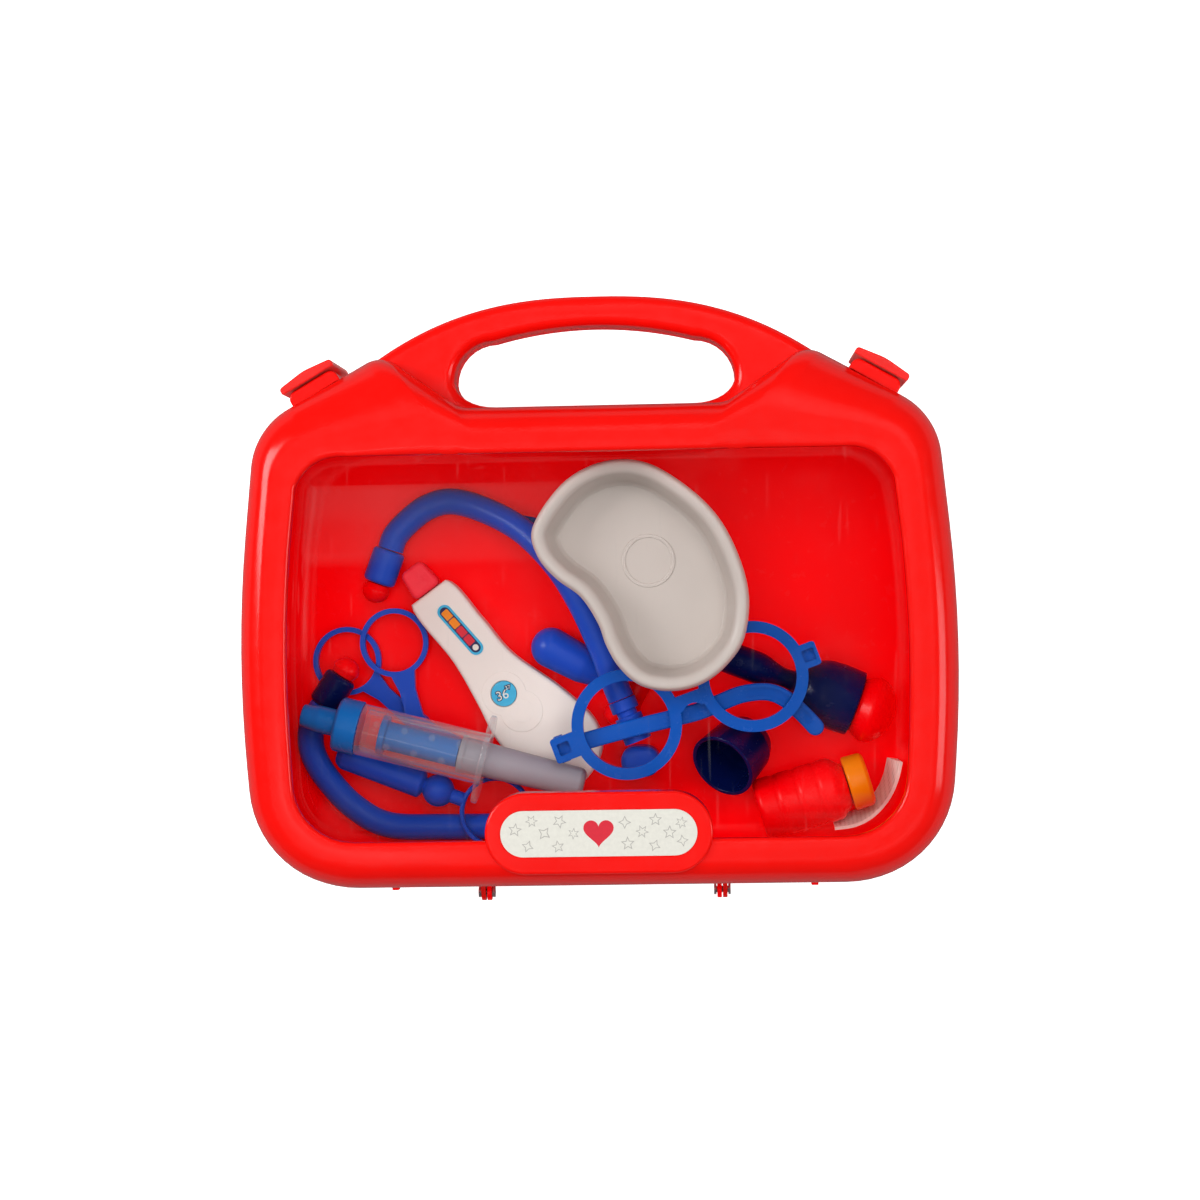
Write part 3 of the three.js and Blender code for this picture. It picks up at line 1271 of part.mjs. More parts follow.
const ear_foot = hinge_axis_drop + hinge_ear_radius;
case_group.position.set(0, (ear_foot - handle_top) / 2, 0);

export default case_group;
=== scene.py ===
"""A toy doctor case, closed and lying on its back: finishes, smooth mouldings and a plain studio."""

import math

import bmesh
import bpy
from mathutils import Matrix, Vector


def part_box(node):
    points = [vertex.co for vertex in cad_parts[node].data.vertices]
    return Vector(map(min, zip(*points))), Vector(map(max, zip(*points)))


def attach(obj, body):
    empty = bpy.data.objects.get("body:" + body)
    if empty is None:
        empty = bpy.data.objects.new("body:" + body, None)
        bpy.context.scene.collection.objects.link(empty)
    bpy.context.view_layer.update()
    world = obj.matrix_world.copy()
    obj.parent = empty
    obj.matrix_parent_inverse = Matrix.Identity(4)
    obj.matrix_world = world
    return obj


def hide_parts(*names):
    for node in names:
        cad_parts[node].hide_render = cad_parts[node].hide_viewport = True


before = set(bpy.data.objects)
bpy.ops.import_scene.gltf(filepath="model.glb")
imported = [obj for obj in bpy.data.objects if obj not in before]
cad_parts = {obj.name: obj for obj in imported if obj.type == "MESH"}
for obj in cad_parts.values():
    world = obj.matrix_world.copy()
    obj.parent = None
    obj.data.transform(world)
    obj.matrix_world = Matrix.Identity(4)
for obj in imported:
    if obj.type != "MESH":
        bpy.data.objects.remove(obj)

bl_info = {
    "name": "Toy doctor case",
    "version": (1, 0, 0),
    "blender": (4, 5, 0),
    "location": "View3D > Sidebar > Doctor case",
    "description": "Models a moulded toy doctor case with its window, latches and play instruments",
    "category": "Add Mesh",
}

MM = 0.001

# The outline of the case at the parting line: right half, as corners (x, y, radius, steps) in millimetres
# from the middle of the bottom edge.
CASE_CORNERS = [(126.9, 0, 40, 14), (133.9, 88, 480, 8), (125.6, 171.2, 28, 12), (79, 198, 10, 8), (49, 177, 12, 8)]
WINDOW_CORNERS = [(109.5, 19, 22, 10), (113.1, 88, 480, 6), (107.4, 158.4, 17, 10)]
BACK_CORNERS = [(111.9, 15, 24, 8), (117.2, 88, 480, 6), (110.6, 162, 24, 8)]
MIDDLE_HEIGHT = 92
BOTTOM_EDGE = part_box("rear_shell")[0].y + 6.7 * MM
PARTING = 42
LID_TOP = 78
PAD_TOP = LID_TOP + 1.6
LABEL_SEAT = LID_TOP + 1.2
WALL = 2.2
GAP = 0.3

# How the shells curve in: shares of the way from the case's outline to the window's or the back's, and of
# the depth
LID_OUTSIDE = [
    (0, 0), (0.01, 0.2), (0.03, 0.45), (0.052, 0.58), (0.08, 0.68), (0.12, 0.765), (0.17, 0.83), (0.23, 0.885),
    (0.3, 0.93), (0.37, 0.962), (0.45, 0.985), (0.53, 0.997), (0.62, 1), (0.78, 1), (0.9, 0.998), (0.955, 0.99),
    (0.985, 0.978), (1, 0.96),
]
LID_INSIDE = [(1, 0.9), (0.62, 0.9), (0.48, 0.88), (0.36, 0.83), (0.27, 0.75), (0.2, 0.62), (0.16, 0.44), (0.14, 0)]
REAR_OUTSIDE = [
    (1, 0), (0.9, 0.004), (0.82, 0.016), (0.72, 0.038), (0.62, 0.07), (0.52, 0.12), (0.42, 0.18), (0.32, 0.26),
    (0.24, 0.35), (0.16, 0.46), (0.1, 0.58), (0.06, 0.7), (0.03, 0.82), (0.01, 0.92), (0, 1),
]


def linear(hex_colour):
    """An sRGB hex colour as the linear RGBA that Blender's sockets take."""
    parts = [int(hex_colour[i:i + 2], 16) / 255 for i in (1, 3, 5)]
    return tuple(c / 12.92 if c <= 0.04045 else ((c + 0.055) / 1.055) ** 2.4 for c in parts) + (1.0,)


# Sizes and colours that a user would change

def length(name, description, millimetres):
    return bpy.props.FloatProperty(name=name, description=description, default=millimetres * MM, unit="LENGTH")


def hue(name, description, hex_colour):
    return bpy.props.StringProperty(name=name, description=f"sRGB colour of {description}", default=hex_colour)


class DoctorCaseSizes(bpy.types.PropertyGroup):
    """Sizes of the case's mouldings, in metres."""
    handle_top: length("Handle top", "Outer arch of the handle over the bottom edge", 217.6)
    handle_fall: length("Handle fall", "Fall of the handle's outer edge from its top to its roots", 22.7)
    handle_bar: length("Handle bar", "Width of the handle's bar at its top", 10.8)
    handle_depth: length("Handle depth", "Depth of the handle through both shells", 22)
    pad_length: length("Pad length", "Length of the name pad", 82)
    pad_height: length("Pad height", "Height of the name pad on the front", 29.4)
    pad_middle: length("Pad middle", "Middle of the pad over the bottom edge", 21.6)


def user_size(name):
    """One of those sizes, in millimetres."""
    return getattr(bpy.context.scene.doctor_case_sizes, name) / MM


class DoctorCaseColours(bpy.types.PropertyGroup):
    """Colours of the mouldings and prints."""
    frame_red: hue("Frame red", "the front frame", "#f40e08")
    shell_red: hue("Shell red", "the rear shell", "#ff0008")
    royal_blue: hue("Royal blue", "the stethoscope and hammer", "#1d4cc0")
    bright_blue: hue("Bright blue", "the glasses and syringe", "#0650b0")
    navy: hue("Navy", "the cup and bell", "#041046")
    nozzle_blue: hue("Nozzle blue", "the syringe's nozzle", "#1270c4")
    piston_blue: hue("Piston blue", "the syringe's piston", "#1468b8")
    dish_grey: hue("Dish grey", "the kidney dish", "#c2b8b1")
    white: hue("White", "the thermometer", "#ece4dc")
    orange: hue("Orange", "the bottle's cap", "#f08608")
    rod_grey: hue("Rod grey", "the syringe's rod", "#98929a")


# Outlines

def rounded(corners, steps=6):
    """The points of a closed outline whose corners (x, y, radius[, steps]) are rounded."""
    points = []
    for i, corner in enumerate(corners):
        x, y, radius = corner[:3]
        count = corner[3] if len(corner) > 3 else steps
        here = Vector((x, y))
        before = (Vector(corners[i - 1][:2]) - here).normalized()
        after = (Vector(corners[(i + 1) % len(corners)][:2]) - here).normalized()
        half = before.angle(after) / 2
        centre = here + (before + after).normalized() * radius / math.sin(half)
        start = here + before * radius / math.tan(half) - centre
        end = here + after * radius / math.tan(half) - centre
        turn = math.atan2(start.x * end.y - start.y * end.x, start.dot(end))
        points += [centre + Matrix.Rotation(turn * k / count, 2) @ start for k in range(count + 1)]
    return points


def both_halves(corners):
    return corners + [(-c[0],) + c[1:] for c in reversed(corners)]


def follow(outline, other):
    """Where rays from the middle of the case through `outline` meet `other`."""
    middle = Vector((0, MIDDLE_HEIGHT))
    met = []
    for point in outline:
        ray = point - middle
        best = None
        for i, a in enumerate(other):
            side = other[(i + 1) % len(other)] - a
            cross = ray.x * side.y - ray.y * side.x
            if abs(cross) < 1e-9:
                continue
            start = a - middle
            along = (start.x * side.y - start.y * side.x) / cross
            share = (start.x * ray.y - start.y * ray.x) / cross
            if along > 0 and -1e-6 <= share <= 1 + 1e-6 and (best is None or along < best):
                best = along
        met.append(middle + ray * best)
    return met


def inset(outline, distance):
    moved = []
    for i, point in enumerate(outline):
        along = (outline[(i + 1) % len(outline)] - outline[i - 1]).normalized()
        moved.append(Vector((point.x - along.y * distance, point.y + along.x * distance)))
    return moved


def between(outer, inner, share):
    return [a.lerp(b, share) for a, b in zip(outer, inner)]


def level(outline, height):
    """An outline in the case's millimetres as a ring of places in the frame, in metres."""
    return [Vector((p.x * MM, p.y * MM + BOTTOM_EDGE, height * MM)) for p in outline]


def flat(*pairs):
    """Pairs of numbers as flat points."""
    return [Vector(pair) for pair in pairs]


def on_circle(radius, turn, x=0.0, y=0.0):
    return Vector((x + radius * math.cos(turn), y + radius * math.sin(turn)))


def circle_points(radius, steps=48, x=0.0, y=0.0):
    return [on_circle(radius, math.tau * i / steps, x, y) for i in range(steps)]


def stadium(half_length, height, y, steps=16):
    """A long rounded outline about (0, y), with half circles at its ends."""
    radius = height / 2
    return [on_circle(side * radius, -math.pi / 2 + math.pi * k / steps, side * (half_length - radius), y)
            for side in (1, -1) for k in range(steps + 1)]


def dome(radius, foot, rise, steps):
    """A dome's profile (radius, along), from its foot to its top."""
    turns = [math.pi / 2 * i / steps for i in range(steps + 1)]
    return [(radius * math.cos(turn), foot + rise * math.sin(turn)) for turn in turns]


# Modelling helpers: each leaves one object, active, selected and in object mode

def alone(obj):
    """Only `obj` is selected, and it is active."""
    if bpy.context.object and bpy.context.object.mode != "OBJECT":
        bpy.ops.object.mode_set(mode="OBJECT")
    bpy.ops.object.select_all(action="DESELECT")
    obj.hide_set(False)
    obj.select_set(True)
    bpy.context.view_layer.objects.active = obj
    return obj


def set_in_place(obj):
    """Puts the object's place, turn and scale in its mesh."""
    alone(obj)
    bpy.ops.object.transform_apply(location=True, rotation=True, scale=True)
    return obj


def start_editing(obj):
    alone(obj)
    bpy.ops.object.mode_set(mode="EDIT")


def settle(obj, smooth=35):
    """Ends the editing, puts the object's place in its mesh and smooths the faces that meet gently."""
    set_in_place(obj)
    bpy.ops.object.shade_smooth_by_angle(angle=math.radians(smooth))
    if smooth > 5:
        bpy.ops.object.modifier_add(type="WEIGHTED_NORMAL")
        obj.modifiers[-1].keep_sharp = True
        bpy.ops.object.modifier_apply(modifier=obj.modifiers[-1].name)
    return obj


def face_outwards(obj):
    start_editing(obj)
    bpy.ops.mesh.select_all(action="SELECT")
    bpy.ops.mesh.remove_doubles(threshold=0.002 * MM)
    bpy.ops.mesh.normals_make_consistent(inside=False)
    bpy.ops.object.mode_set(mode="OBJECT")
    return obj


def drawn_skin(name, rings, looped=False):
    """A closed skin: the first ring is a circle set in its place, and each next ring is extruded from it."""
    bpy.ops.object.select_all(action="DESELECT")
    bpy.ops.mesh.primitive_circle_add(vertices=len(rings[0]), fill_type="NOTHING")
    obj = bpy.context.object
    obj.name = obj.data.name = name
    start_editing(obj)
    bpy.ops.mesh.select_mode(type="VERT")
    mesh = bmesh.from_edit_mesh(obj.data)
    place = mesh.verts.layers.int.new("place")
    mesh.verts.ensure_lookup_table()
    for i, vert in enumerate(mesh.verts):
        vert[place] = i
        vert.co = rings[0][i]
    bmesh.update_edit_mesh(obj.data)
    bpy.ops.mesh.select_all(action="SELECT")
    if not looped:
        bpy.ops.mesh.edge_face_add()
        mesh = bmesh.from_edit_mesh(obj.data)
        for vert in mesh.verts:
            vert.select = True
        for face in mesh.faces:
            face.select = False
        for edge in mesh.edges:
            edge.select = True
        bmesh.update_edit_mesh(obj.data)
    for ring in rings[1:] + ([rings[0]] if looped else []):
        bpy.ops.mesh.extrude_edges_move()
        mesh = bmesh.from_edit_mesh(obj.data)
        place = mesh.verts.layers.int["place"]
        for vert in mesh.verts:
            if vert.select:
                vert.co = ring[vert[place]]
        bmesh.update_edit_mesh(obj.data)
    if not looped:
        bpy.ops.mesh.edge_face_add()
    bpy.ops.object.mode_set(mode="OBJECT")
    face_outwards(obj)
    obj.data.attributes.remove(obj.data.attributes["place"])
    return obj


def as_mesh(name, curve):
    """The curve, or the text, as a mesh object."""
    obj = bpy.data.objects.new(name, curve)
    bpy.context.scene.collection.objects.link(obj)
    alone(obj)
    bpy.ops.object.convert(target="MESH")
    return bpy.context.object


def flat_plate(name, outlines, low, high, edge=0.0, rounds=3, in_frame=True):
    """A plate from flat closed outlines (the first is the rim, the others are holes), its rims rounded."""
    curve = bpy.data.curves.new(name, "CURVE")
    curve.dimensions = "2D"
    curve.fill_mode = "BOTH"
    for outline in outlines:
        spline = curve.splines.new("POLY")
        spline.points.add(len(outline) - 1)
        for point, place in zip(spline.points, outline):
            point.co = (place.x * MM, place.y * MM, 0, 1)
        spline.use_cyclic_u = True
    curve.extrude = ((high - low) / 2 - edge) * MM
    curve.bevel_depth = edge * MM
    curve.bevel_resolution = rounds
    curve.offset = -edge * MM
    obj = as_mesh(name, curve)
    obj.location = (0, BOTTOM_EDGE if in_frame else 0, (low + high) / 2 * MM)
    return face_outwards(set_in_place(obj))


def loose_plate(*shape):
    """A plate about its own origin, to be placed later."""
    return flat_plate(*shape, in_frame=False)


def cut_with(obj, *cutters, operation="DIFFERENCE"):
    """Booleans `cutters` off `obj`, or into it, and removes them."""
    for cutter in cutters:
        alone(obj)
        modifier = obj.modifiers.new("cut", "BOOLEAN")
        modifier.operation = operation
        modifier.object = cutter
        modifier.solver = "EXACT"
        bpy.ops.object.modifier_apply(modifier=modifier.name)
        bpy.data.objects.remove(cutter)
    return obj


def joined(name, *parts):
    """The parts as one mesh, under one name."""
    alone(parts[0])
    for part in parts[1:]:
        part.select_set(True)
    if len(parts) > 1:
        bpy.ops.object.join()
    obj = bpy.context.object
    obj.name = obj.data.name = name
    return obj


def soften(obj, width, segments=3, angle=30):
    """Rounds the sharp edges."""
    alone(obj)
    modifier = obj.modifiers.new("edges", "BEVEL")
    modifier.width = width
    modifier.segments = segments
    modifier.limit_method = "ANGLE"
    modifier.angle_limit = math.radians(angle)
    modifier.harden_normals = False
    bpy.ops.object.modifier_apply(modifier=modifier.name)
    return obj


def painted(obj, finish):
    """Gives the object one material, by its name."""
    obj.data.materials.clear()
    obj.data.materials.append(finish_of(finish))
    return obj


def stands_for(obj, body, node_name):
    """Puts the piece under its body's empty and hides the CAD part that it stands for."""
    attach(obj, body)
    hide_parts(node_name)


def finish_piece(obj, finish, node_name, body="rear", smooth=50):
    """Settles the piece, gives it its finish, puts it under its body and hides the CAD part that it stands for."""
    stands_for(painted(settle(obj, smooth), finish), body, node_name)


# Materials

def node(tree, kind, inputs=None, **settings):
    """Adds a shader node with its settings, values and links."""
    made = tree.nodes.new(kind)
    for key, value in settings.items():
        setattr(made, key, value)
    for key, value in (inputs or {}).items():
        socket = made.inputs[key]
        if isinstance(value, bpy.types.NodeSocket):
            tree.links.new(value, socket)
        else:
            socket.default_value = value
    return made


def new_material(name):
    """A bare material, its tree and the object's own coordinates."""
    material = bpy.data.materials.new(name)
    material.use_nodes = True
    material.node_tree.nodes.clear()
    return material, material.node_tree, node(material.node_tree, "ShaderNodeTexCoord").outputs


def noise(tree, place, size, detail, **more):
    """Noise whose grains are `size` millimetres across."""
    inputs = {"Vector": place, "Scale": 1 / (size * MM), "Detail": detail, **more}
    return node(tree, "ShaderNodeTexNoise", inputs).outputs["Fac"]


def combine(tree, operation, first, second, **settings):
    """Two numbers brought together by one sum."""
    return node(tree, "ShaderNodeMath", {0: first, 1: second}, operation=operation, **settings).outputs[0]


def bumped(tree, height, distance, strength, **more):
    """Normals bent by a height of at most `distance` millimetres."""
    inputs = {"Height": height, "Distance": distance * MM, "Strength": strength, **more}
    return node(tree, "ShaderNodeBump", inputs).outputs["Normal"]


def remap(tree, value, source, target=(0.0, 1.0)):
    """The value taken from one range to another."""
    return node(tree, "ShaderNodeMapRange", {"Value": value, "From Min": source[0], "From Max": source[1],
                                             "To Min": target[0], "To Max": target[1]}).outputs["Result"]


def principled(tree, **inputs):
    names = {"colour": "Base Color", "bump": "Normal", "ior": "IOR", "specular": "Specular IOR Level",
             "subsurface": "Subsurface Weight", "radius": "Subsurface Radius", "emission": "Emission Color",
             "strength": "Emission Strength"}
    sockets = {names.get(key, key.capitalize()): value for key, value in inputs.items()}
    return node(tree, "ShaderNodeBsdfPrincipled", sockets).outputs["BSDF"]


def closed(material, shader):
    """Ends the material with its shader."""
    node(material.node_tree, "ShaderNodeOutputMaterial", {"Surface": shader})
    return material


def ramp(tree, factor, stops):
    made = node(tree, "ShaderNodeValToRGB", {"Fac": factor})
    for i, (position, colour) in enumerate(stops):
        element = made.color_ramp.elements[i] if i < 2 else made.color_ramp.elements.new(position)
        element.position = position
        element.color = colour
    return made.outputs["Color"]


def shade(hex_colour, factor):
    """A hex colour made lighter or darker, as linear RGBA."""
    return tuple(min(1.0, c * factor) for c in linear(hex_colour)[:3]) + (1.0,)


def moulded_plastic(name, hex_colour, gloss=0.22, flow=0.03, shine=0.3, glow=0.0):
    """Injection moulded polypropylene: a soft gloss over slight ripples, with faint clouding from the melt's
    flow, and tiny pits and rubbed spots that dull the gloss here and there. `glow` is painted light: an
    emission in the plastic's own colour on faces turned upward, standing in for daylight through a thin wall."""
    material, tree, coordinates = new_material(name)
    place = coordinates["Object"]
    colour = ramp(tree, noise(tree, place, 38, 3.0), [
        (0.3, shade(hex_colour, 1 - flow)), (0.7, shade(hex_colour, 1 + flow))])
    rubbed = noise(tree, place, 6, 5.0, Roughness=0.7)
    waves = bumped(tree, noise(tree, place, 14, 2.0), 0.12, 0.12)
    pits = bumped(tree, noise(tree, place, 0.9, 2.0), 0.006, 0.3, Normal=waves)
    facing = node(tree, "ShaderNodeSeparateXYZ", {"Vector": coordinates["Normal"]})
    # Painted light: faces turned upward glow in the plastic's own colour, as strong as `glow`
    upward_faces_for_painted_light = remap(tree, facing.outputs["Z"], (0.0, 0.4))
    painted_daylight = node(tree, "ShaderNodeVectorMath", {0: colour, 1: upward_faces_for_painted_light}, operation="MULTIPLY")
    return closed(material, principled(
        tree, colour=colour, roughness=remap(tree, rubbed, (0.4, 0.8), (gloss, gloss + 0.1)),
        bump=pits, ior=1.49, specular=shine, emission=painted_daylight.outputs["Vector"], strength=glow))


def clear_sheet(name, tint, low, high, haze, shine):
    """Clear formed PET: almost unseen face on, with a painted reflection that lets more of its white show
    towards its edges, and hazy rubbing and hairline scratches that catch the light."""
    material, tree, coordinates = new_material(name)
    place = coordinates["Object"]
    # Painted reflection: the sheet's white shows more where it is seen edge on
    facing = node(tree, "ShaderNodeLayerWeight", {"Blend": 0.35}).outputs["Facing"]
    edge = remap(tree, facing, (0.1, 1.0), (low, high))
    hazy = remap(tree, noise(tree, place, 45, 4.0, Roughness=0.6), (0.5, 0.8), (0.0, haze))
    marks = None
    for turn, spacing in ((0.5, 19), (-0.9, 27), (1.35, 23)):
        drawn_out = node(tree, "ShaderNodeMapping", {"Vector": place, "Rotation": (0, 0, turn),
                                                     "Scale": (1.0, 0.06, 1.0)}).outputs["Vector"]
        thin = remap(tree, noise(tree, drawn_out, spacing * 0.1, 1.0), (0.745, 0.765), (0.0, 0.012))
        marks = combine(tree, "MAXIMUM", marks, thin) if marks else thin
    cover = combine(tree, "ADD", combine(tree, "ADD", edge, hazy), marks, use_clamp=True)
    surface = principled(tree, colour=linear(tint), metallic=0.0, roughness=0.15, ior=1.57, alpha=cover,
                         specular=0.5)
    mirrored = combine(tree, "MINIMUM", node(tree, "ShaderNodeFresnel", {"IOR": 1.35}).outputs["Fac"], shine)
    gloss = node(tree, "ShaderNodeBsdfGlossy", {"Color": (1, 1, 1, 1), "Roughness": 0.03})
    both = node(tree, "ShaderNodeMixShader", {0: mirrored, 1: surface, 2: gloss.outputs["BSDF"]})
    return closed(material, both.outputs[0])


def drawn_steel(name):
    """Drawn steel wire: bright, with a fine grain."""
    material, tree, coordinates = new_material(name)
    grain = noise(tree, coordinates["Object"], 0.4, 3.0)
    return closed(material, principled(tree, colour=linear("#b9bcc0"), metallic=1.0,
                                       roughness=remap(tree, grain, (0.0, 1.0), (0.25, 0.45))))


def printed_vinyl(name, hex_colour):
    """Printed vinyl label: flat and satin, with the ink's faint tooth."""
    material, tree, coordinates = new_material(name)
    tooth = noise(tree, coordinates["Object"], 1.5, 4.0)
    colour = ramp(tree, tooth, [(0.35, shade(hex_colour, 0.96)), (0.65, shade(hex_colour, 1.02))])
    return closed(material, principled(tree, colour=colour, roughness=remap(tree, tooth, (0.0, 1.0), (0.35, 0.5))))


def latch_plastic(name):
    """The latches' thin red moulding, with a painted highlight: paler pink where its rounded rims are seen edge on."""
    material, tree, coordinates = new_material(name)
    clouds = noise(tree, coordinates["Object"], 9, 3.0)
    red = ramp(tree, clouds, [(0.3, shade("#ee2a26", 0.95)), (0.7, shade("#ee2a26", 1.05))])
    # Painted highlight: the rims turn pale pink where they are seen edge on
    rim = node(tree, "ShaderNodeLayerWeight", {"Blend": 0.25}).outputs["Facing"]
    colour = node(tree, "ShaderNodeMixRGB", {"Fac": remap(tree, rim, (0.25, 0.9), (0.0, 0.75)),
                                             "Color1": red, "Color2": linear("#ffb3a6")})
    return closed(material, principled(tree, colour=colour.outputs["Color"], roughness=0.25, subsurface=0.2,
                                       radius=(3 * MM, 1 * MM, 0.8 * MM)))


def woven_cotton(name):
    """Woven cotton band: plain weave, drawn at 0.8 mm between threads so that it shows."""
    material, tree, coordinates = new_material(name)
    threads = [node(tree, "ShaderNodeTexWave", {"Vector": coordinates["Object"], "Scale": 1 / (0.8 * MM) / 6.283},
                    bands_direction=axis).outputs["Fac"] for axis in ("X", "Z")]
    weave = combine(tree, "ADD", *threads)
    # Painted shade: the weave is darker and greyer in its dips, where the bump sinks
    colour = ramp(tree, weave, [(0.2, shade("#e9e4d8", 0.85)), (0.9, shade("#f4f0e6", 1.0))])
    return closed(material, principled(tree, colour=colour, roughness=0.85, bump=bumped(tree, weave, 0.15, 0.6)))


def sweep_paper(name):
    """White sweep paper: a pure white ground to the camera, which still takes the object's soft shadow."""
    material, tree, coordinates = new_material(name)
    fibres = noise(tree, coordinates["Object"], 2, 3.0)
    colour = ramp(tree, fibres, [(0.3, (0.9, 0.9, 0.9, 1)), (0.7, (0.93, 0.93, 0.93, 1))])
    path = node(tree, "ShaderNodeLightPath").outputs
    dim = node(tree, "ShaderNodeMixRGB", {"Fac": path["Is Glossy Ray"], "Color1": colour,
                                          "Color2": (0.25, 0.25, 0.25, 1)})
    paper = node(tree, "ShaderNodeBsdfDiffuse", {"Color": dim.outputs["Color"], "Roughness": 0.6})
    seen = combine(tree, "MAXIMUM", path["Is Camera Ray"], path["Is Transmission Ray"])
    whiteness = combine(tree, "MULTIPLY", seen, 0.85)
    glow = node(tree, "ShaderNodeEmission", {"Color": (1, 1, 1, 1), "Strength": whiteness})
    both = node(tree, "ShaderNodeAddShader", {0: paper.outputs[0], 1: glow.outputs[0]})
    return closed(material, both.outputs[0])


# The moulded plastics: a colour of the panel or a value of their own, and what differs from a common moulding
PLASTICS = {
    "frame_polypropylene": ("frame_red", {"gloss": 0.15, "shine": 0.4}),
    # The shell's glow is painted light: an emission on its upward faces
    "shell_polypropylene": ("shell_red", {"shine": 0.12, "glow": 0.15}),
    "royal_blue_polyethylene": ("royal_blue", {"gloss": 0.3}),
    "bright_blue_polypropylene": ("bright_blue", {}),
    "navy_polypropylene": ("navy", {}),
    "nozzle_polypropylene": ("nozzle_blue", {}),
    "piston_polypropylene": ("piston_blue", {}),
    "red_toy_polyethylene": ("shell_red", {"gloss": 0.25, "shine": 0.2}),
    "soft_tip_polyethylene": ("#ff3646", {"gloss": 0.25, "shine": 0.2}),
    "grey_dish_polypropylene": ("dish_grey", {"gloss": 0.3}),
    "white_polypropylene": ("white", {"gloss": 0.3}),
    "orange_polypropylene": ("orange", {}),
    "grey_rod_polypropylene": ("rod_grey", {"gloss": 0.35, "flow": 0.04}),
}
PRINTS = {"label_vinyl": "#e2e0d6", "dial_vinyl": "#3fb2dc", "orange_vinyl": "#f08a14", "red_ink": "#d8283a",
          "grey_ink": "#b3b0aa", "navy_ink": "#27305a"}
CLEARS = {"clear_pet_window": {"tint": "#ffffff", "low": 0.0, "high": 0.03, "haze": 0.005, "shine": 0.0},
          "clear_styrene_barrel": {"tint": "#dfe6ea", "low": 0.05, "high": 0.5, "haze": 0.02, "shine": 0.25}}
OTHERS = {"steel_wire": drawn_steel, "cotton_band": woven_cotton, "white_paper": sweep_paper,
          "latch_polypropylene": latch_plastic}


def finish_of(name):
    """The material of that name, made when it is first called for."""
    found = bpy.data.materials.get(name)
    if found:
        return found
    if name in PLASTICS:
        colour, look = PLASTICS[name]
        if not colour.startswith("#"):
            colour = getattr(bpy.context.scene.doctor_case_colours, colour)
        return moulded_plastic(name, colour, **look)
    if name in PRINTS:
        return printed_vinyl(name, PRINTS[name])
    return clear_sheet(name, **CLEARS[name]) if name in CLEARS else OTHERS[name](name)


# Places and shapes of the case's own features

(SHOULDER_X, SHOULDER_Y), (CREST_X, CREST_Y) = (corner[:2] for corner in CASE_CORNERS[2:4])
SHOULDER_SLOPE = math.atan2(CREST_Y - SHOULDER_Y, SHOULDER_X - CREST_X)
LATCH_SHARE = 0.49
LATCH_X = SHOULDER_X - LATCH_SHARE * (SHOULDER_X - CREST_X)
LATCH_Y = SHOULDER_Y + LATCH_SHARE * (CREST_Y - SHOULDER_Y)
LATCH_PIN_OUT = 1.9
LATCH_PIN_HEIGHT = 27
HINGE_PLACES = (-44, 44)
HINGE_Y = -3.6
WINDOW_LOW = WINDOW_CORNERS[0][1]
WINDOW_RISE = WINDOW_CORNERS[2][1] - WINDOW_LOW
WINDOW_WIDEST = 111.4

# Sizes of the toys that others lie on, and the heights that follow from them: each toy is clear of the one
# under it by the gap
FLOOR = WALL + GAP
HAMMER_DEPTH = 15.8
TUBE_RADIUS = 5.1
COLLAR_RADIUS = 6.3
SCISSOR_THICKNESS = 3.2
THERMOMETER_DEPTH = 12.4
FLANGE_RADIUS = 11.3
TUBE_LOW = FLOOR + TUBE_RADIUS
TUBE_HIGH = FLOOR + HAMMER_DEPTH + GAP + TUBE_RADIUS
TUBE_END = FLOOR + SCISSOR_THICKNESS + GAP + COLLAR_RADIUS
SYRINGE_HEIGHT = FLOOR + THERMOMETER_DEPTH + GAP + FLANGE_RADIUS
GLASSES_THICKNESS = 4.4
GLASSES_HEIGHT = SYRINGE_HEIGHT + 6.9 + GAP
DISH_FOOT = GLASSES_HEIGHT + GLASSES_THICKNESS + GAP


def at(share, height=0.0):
    """A place in the case, in its millimetres: shares of the window's half width there and of its rise."""
    across, up = share
    foot, top = WINDOW_CORNERS[0][0], WINDOW_CORNERS[2][0]
    widest = (WINDOW_CORNERS[1][1] - WINDOW_LOW) / WINDOW_RISE
    low = min(max(up / widest, 0), 1)
    high = min(max((up - widest) / (1 - widest), 0), 1)
    reach = foot + (WINDOW_WIDEST - foot) * low + (top - WINDOW_WIDEST) * high
    return Vector((across * reach, WINDOW_LOW + up * WINDOW_RISE, height))


def spot(place):
    """A place in the case's millimetres as one in the frame, in metres."""
    return Vector((place.x * MM, place.y * MM + BOTTOM_EDGE, place.z * MM))


def placed(obj, x, y, z=0.0, turn=0.0):
    """Turns the object about its own origin and moves it, in the case's millimetres."""
    obj.matrix_world = Matrix.Translation(spot(Vector((x, y, z)))) @ Matrix.Rotation(turn, 4, "Z")
    return set_in_place(obj)


def arch(radius, centre, half, steps):
    """Points of an arch from right to left."""
    reach = math.asin(half / radius)
    return [Vector((radius * math.sin(reach - 2 * reach * i / steps),
                    centre + radius * math.cos(reach - 2 * reach * i / steps))) for i in range(steps + 1)]


def heading(start, end):
    """The way from one place to another, as seen from above, in radians."""
    return math.atan2(end.y - start.y, end.x - start.x)


def spline_points(places, count, looped=False):
    """A smooth path through the places."""
    total = len(places)
    spans = total if looped else total - 1
    points = []
    for k in range(count if looped else count + 1):
        t = spans * k / count
        i = min(int(t), spans - 1)
        f = t - i
        pick = [places[(i + j) % total] if looped else places[min(max(i + j, 0), total - 1)] for j in (-1, 0, 1, 2)]
        a, b, c, d = pick
        points.append(0.5 * (2 * b + (c - a) * f + (2 * a - 5 * b + 4 * c - d) * f ** 2
                             + (3 * b - a - 3 * c + d) * f ** 3))
    return points


